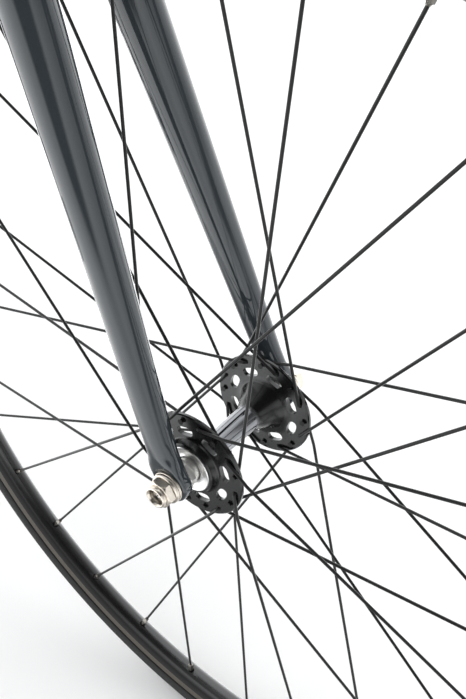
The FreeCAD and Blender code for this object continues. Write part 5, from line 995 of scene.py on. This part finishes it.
def floor():
    seg, rings = 96, [0.0, 0.6, 1.2, 2.0, 3.2, 5.0, 8.0, 14.0]
    verts, faces = [(0, 0, -0.0006)], []
    for r in rings[1:]:
        for i in range(seg):
            a = 2 * math.pi * i / seg
            verts.append((r * math.cos(a), r * math.sin(a), -0.0006))
    for i in range(seg):
        faces.append((0, 1 + i, 1 + (i + 1) % seg))
    for k in range(len(rings) - 2):
        b0, b1 = 1 + k * seg, 1 + (k + 1) * seg
        for i in range(seg):
            i2 = (i + 1) % seg
            faces.append((b0 + i, b1 + i, b1 + i2, b0 + i2))
    me = bpy.data.meshes.new("floor")
    me.from_pydata(verts, [], faces)
    s = Shade("floor_paper", Specular_IOR_Level=0.15)
    s.put("Base Color", s.mix(s.noise(1.3, 3.0), (0.90, 0.905, 0.905), (0.93, 0.932, 0.93)))
    s.put("Roughness", s.span(s.noise(40.0), 0.3, 0.7, 0.75, 0.9))
    me.materials.append(s.mat)
    o = bpy.data.objects.new("floor", me)
    bpy.context.scene.collection.objects.link(o)
    o.visible_glossy = False
    return o


floor()


def area(name, at, look, size, power, tint=(1, 1, 1)):
    l = bpy.data.lights.new(name, "AREA")
    l.shape = "RECTANGLE"
    l.size, l.size_y = size
    l.energy = power
    l.color = tint
    o = bpy.data.objects.new(name, l)
    o.location = at
    o.rotation_mode = "QUATERNION"
    o.rotation_quaternion = (Vector(look) - Vector(at)).to_track_quat("-Z", "Y")
    o.visible_glossy = False
    bpy.context.scene.collection.objects.link(o)
    return o


area("top_softbox", (0.2, 1.3, 3.0), (0.3, 0.0, 0.0), (5.0, 5.0), 40.0)

world = bpy.data.worlds.new("studio")
bpy.context.scene.world = world
world.use_nodes = True
wt = world.node_tree
wt.nodes.clear()


def wnode(kind, **inputs):
    n = wt.nodes.new(kind)
    for key, v in inputs.items():
        n.inputs[key.replace("_", " ")].default_value = v
    return n


def wramp(link, stops):
    n = wt.nodes.new("ShaderNodeValToRGB")
    els = n.color_ramp.elements
    while len(els) < len(stops):
        els.new(0.5)
    for e, (p, c) in zip(els, stops):
        e.position = p
        e.color = (c * 0.985, c, c * 1.012, 1.0)
    wt.links.new(link, n.inputs["Fac"])
    return n.outputs["Color"]


def wmix(fac, a, b):
    n = wt.nodes.new("ShaderNodeMix")
    n.data_type = "RGBA"
    wt.links.new(fac, n.inputs["Factor"])
    for key, x in (("A", a), ("B", b)):
        sk = [i for i in n.inputs if i.name == key and i.type == "RGBA"][0]
        if isinstance(x, tuple):
            sk.default_value = x
        else:
            wt.links.new(x, sk)
    return [o for o in n.outputs if o.type == "RGBA"][0]


def wspan(link, lo, hi, smooth=True):
    n = wt.nodes.new("ShaderNodeMapRange")
    n.interpolation_type = "SMOOTHSTEP" if smooth else "LINEAR"
    n.inputs["From Min"].default_value, n.inputs["From Max"].default_value = lo, hi
    wt.links.new(link, n.inputs["Value"])
    return n.outputs["Result"]


def deg(a):
    return (a + 180.0) / 360.0


w_out = wt.nodes.new("ShaderNodeOutputWorld")
w_co = wt.nodes.new("ShaderNodeTexCoord")
w_sep = wt.nodes.new("ShaderNodeSeparateXYZ")
wt.links.new(w_co.outputs["Generated"], w_sep.inputs[0])
w_at = wt.nodes.new("ShaderNodeMath")
w_at.operation = "ARCTAN2"
wt.links.new(w_sep.outputs["Y"], w_at.inputs[0])
wt.links.new(w_sep.outputs["X"], w_at.inputs[1])
az = wspan(w_at.outputs[0], -math.pi, math.pi, False)
up = w_sep.outputs["Z"]


def wmath(op, a, b=None):
    n = wt.nodes.new("ShaderNodeMath")
    n.operation = op
    for i, x in enumerate((a, b)):
        if x is None:
            continue
        if isinstance(x, (int, float)):
            n.inputs[i].default_value = x
        else:
            wt.links.new(x, n.inputs[i])
    return n.outputs[0]


def wscale(col, fac):
    n = wt.nodes.new("ShaderNodeVectorMath")
    n.operation = "SCALE"
    wt.links.new(col, n.inputs[0])
    wt.links.new(fac, n.inputs["Scale"])
    return n.outputs[0]


# light round the set, as a share of the strongest: panels above eye level, the sweep at eye level, the floor round the set, the floor under it, the ceiling
LEVEL = 4.0


def around_set(stops):
    return wramp(az, [(deg(a), v / LEVEL) for a, v in stops])


panels = around_set([(-180, 2.6), (-120, 2.2), (-96, 1.6), (-66, 2.0), (-47, 2.05), (-33, 1.75), (-20, 1.45), (-6, 1.15), (8, 0.9), (22, 0.9), (44, 1.6), (70, 2.2), (100, 2.9), (135, 3.6), (180, 2.6)])
eye = around_set([(-180, 3.0), (-130, 2.9), (-107, 2.2), (-90, 1.8), (-62, 1.7), (-48, 2.05), (-33, 1.75), (-20, 1.4), (0, 1.3), (15, 1.9), (36, 2.0), (56, 2.0), (72, 2.6), (95, 3.1), (180, 3.0)])
sweep = around_set([(-180, 2.5), (-140, 2.9), (-100, 2.7), (-70, 2.4), (-40, 2.0), (0, 2.0), (50, 2.6), (90, 3.2), (180, 2.5)])
below = around_set([(-180, 0.7), (-150, 0.35), (-60, 0.35), (0, 0.8), (60, 1.6), (120, 1.6), (180, 0.7)])
ceiling = around_set([(-180, 2.0), (-135, 0.9), (-90, 0.22), (-20, 0.18), (36, 0.35), (62, 1.5), (90, 2.6), (130, 2.8), (180, 2.0)])
turn = wmath("MULTIPLY", w_at.outputs[0], 180.0 / math.pi)
room = wmix(wspan(up, 0.04, 0.15), eye, panels)
room = wmix(wspan(up, -0.14, -0.34), room, sweep)
room = wmix(wspan(up, -0.60, -0.74), room, below)
room = wmix(wspan(up, 0.34, 0.60), room, ceiling)
# two dark gaps between the panels, both leaning
gap_a = wmath("MULTIPLY", wspan(wmath("SUBTRACT", turn, wmath("MULTIPLY", up, 75.0)), -58.0, -71.0), wspan(turn, -97.0, -84.0))
gap_a = wmath("MULTIPLY", gap_a, wspan(up, -0.17, -0.02))
lean = wmath("SUBTRACT", turn, wmath("ADD", wmath("MULTIPLY", up, 130.0), -16.0))
gap_b = wmath("MULTIPLY", wspan(wmath("ABSOLUTE", lean), 11.0, 4.5), wspan(up, -0.16, -0.02))
gap_b = wmath("MULTIPLY", gap_b, wspan(up, 0.46, 0.36))
keep = wmath("MULTIPLY", wmath("SUBTRACT", 1.0, wmath("MULTIPLY", gap_a, 0.96)), wmath("SUBTRACT", 1.0, wmath("MULTIPLY", gap_b, 0.86)))
room = wscale(room, keep)
w_room = wnode("ShaderNodeBackground", Strength=LEVEL)
wt.links.new(room, w_room.inputs["Color"])
w_fill = wnode("ShaderNodeBackground", Color=(0.99, 0.995, 1.0, 1.0), Strength=1.10)
w_path = wt.nodes.new("ShaderNodeLightPath")
w_mix = wt.nodes.new("ShaderNodeMixShader")
wt.links.new(w_path.outputs["Is Glossy Ray"], w_mix.inputs[0])
wt.links.new(w_fill.outputs[0], w_mix.inputs[1])
wt.links.new(w_room.outputs[0], w_mix.inputs[2])
wt.links.new(w_mix.outputs[0], w_out.inputs[0])

sc = bpy.context.scene
sc.view_settings.view_transform = "Standard"
sc.view_settings.look = "None"
sc.view_settings.exposure = 0.0
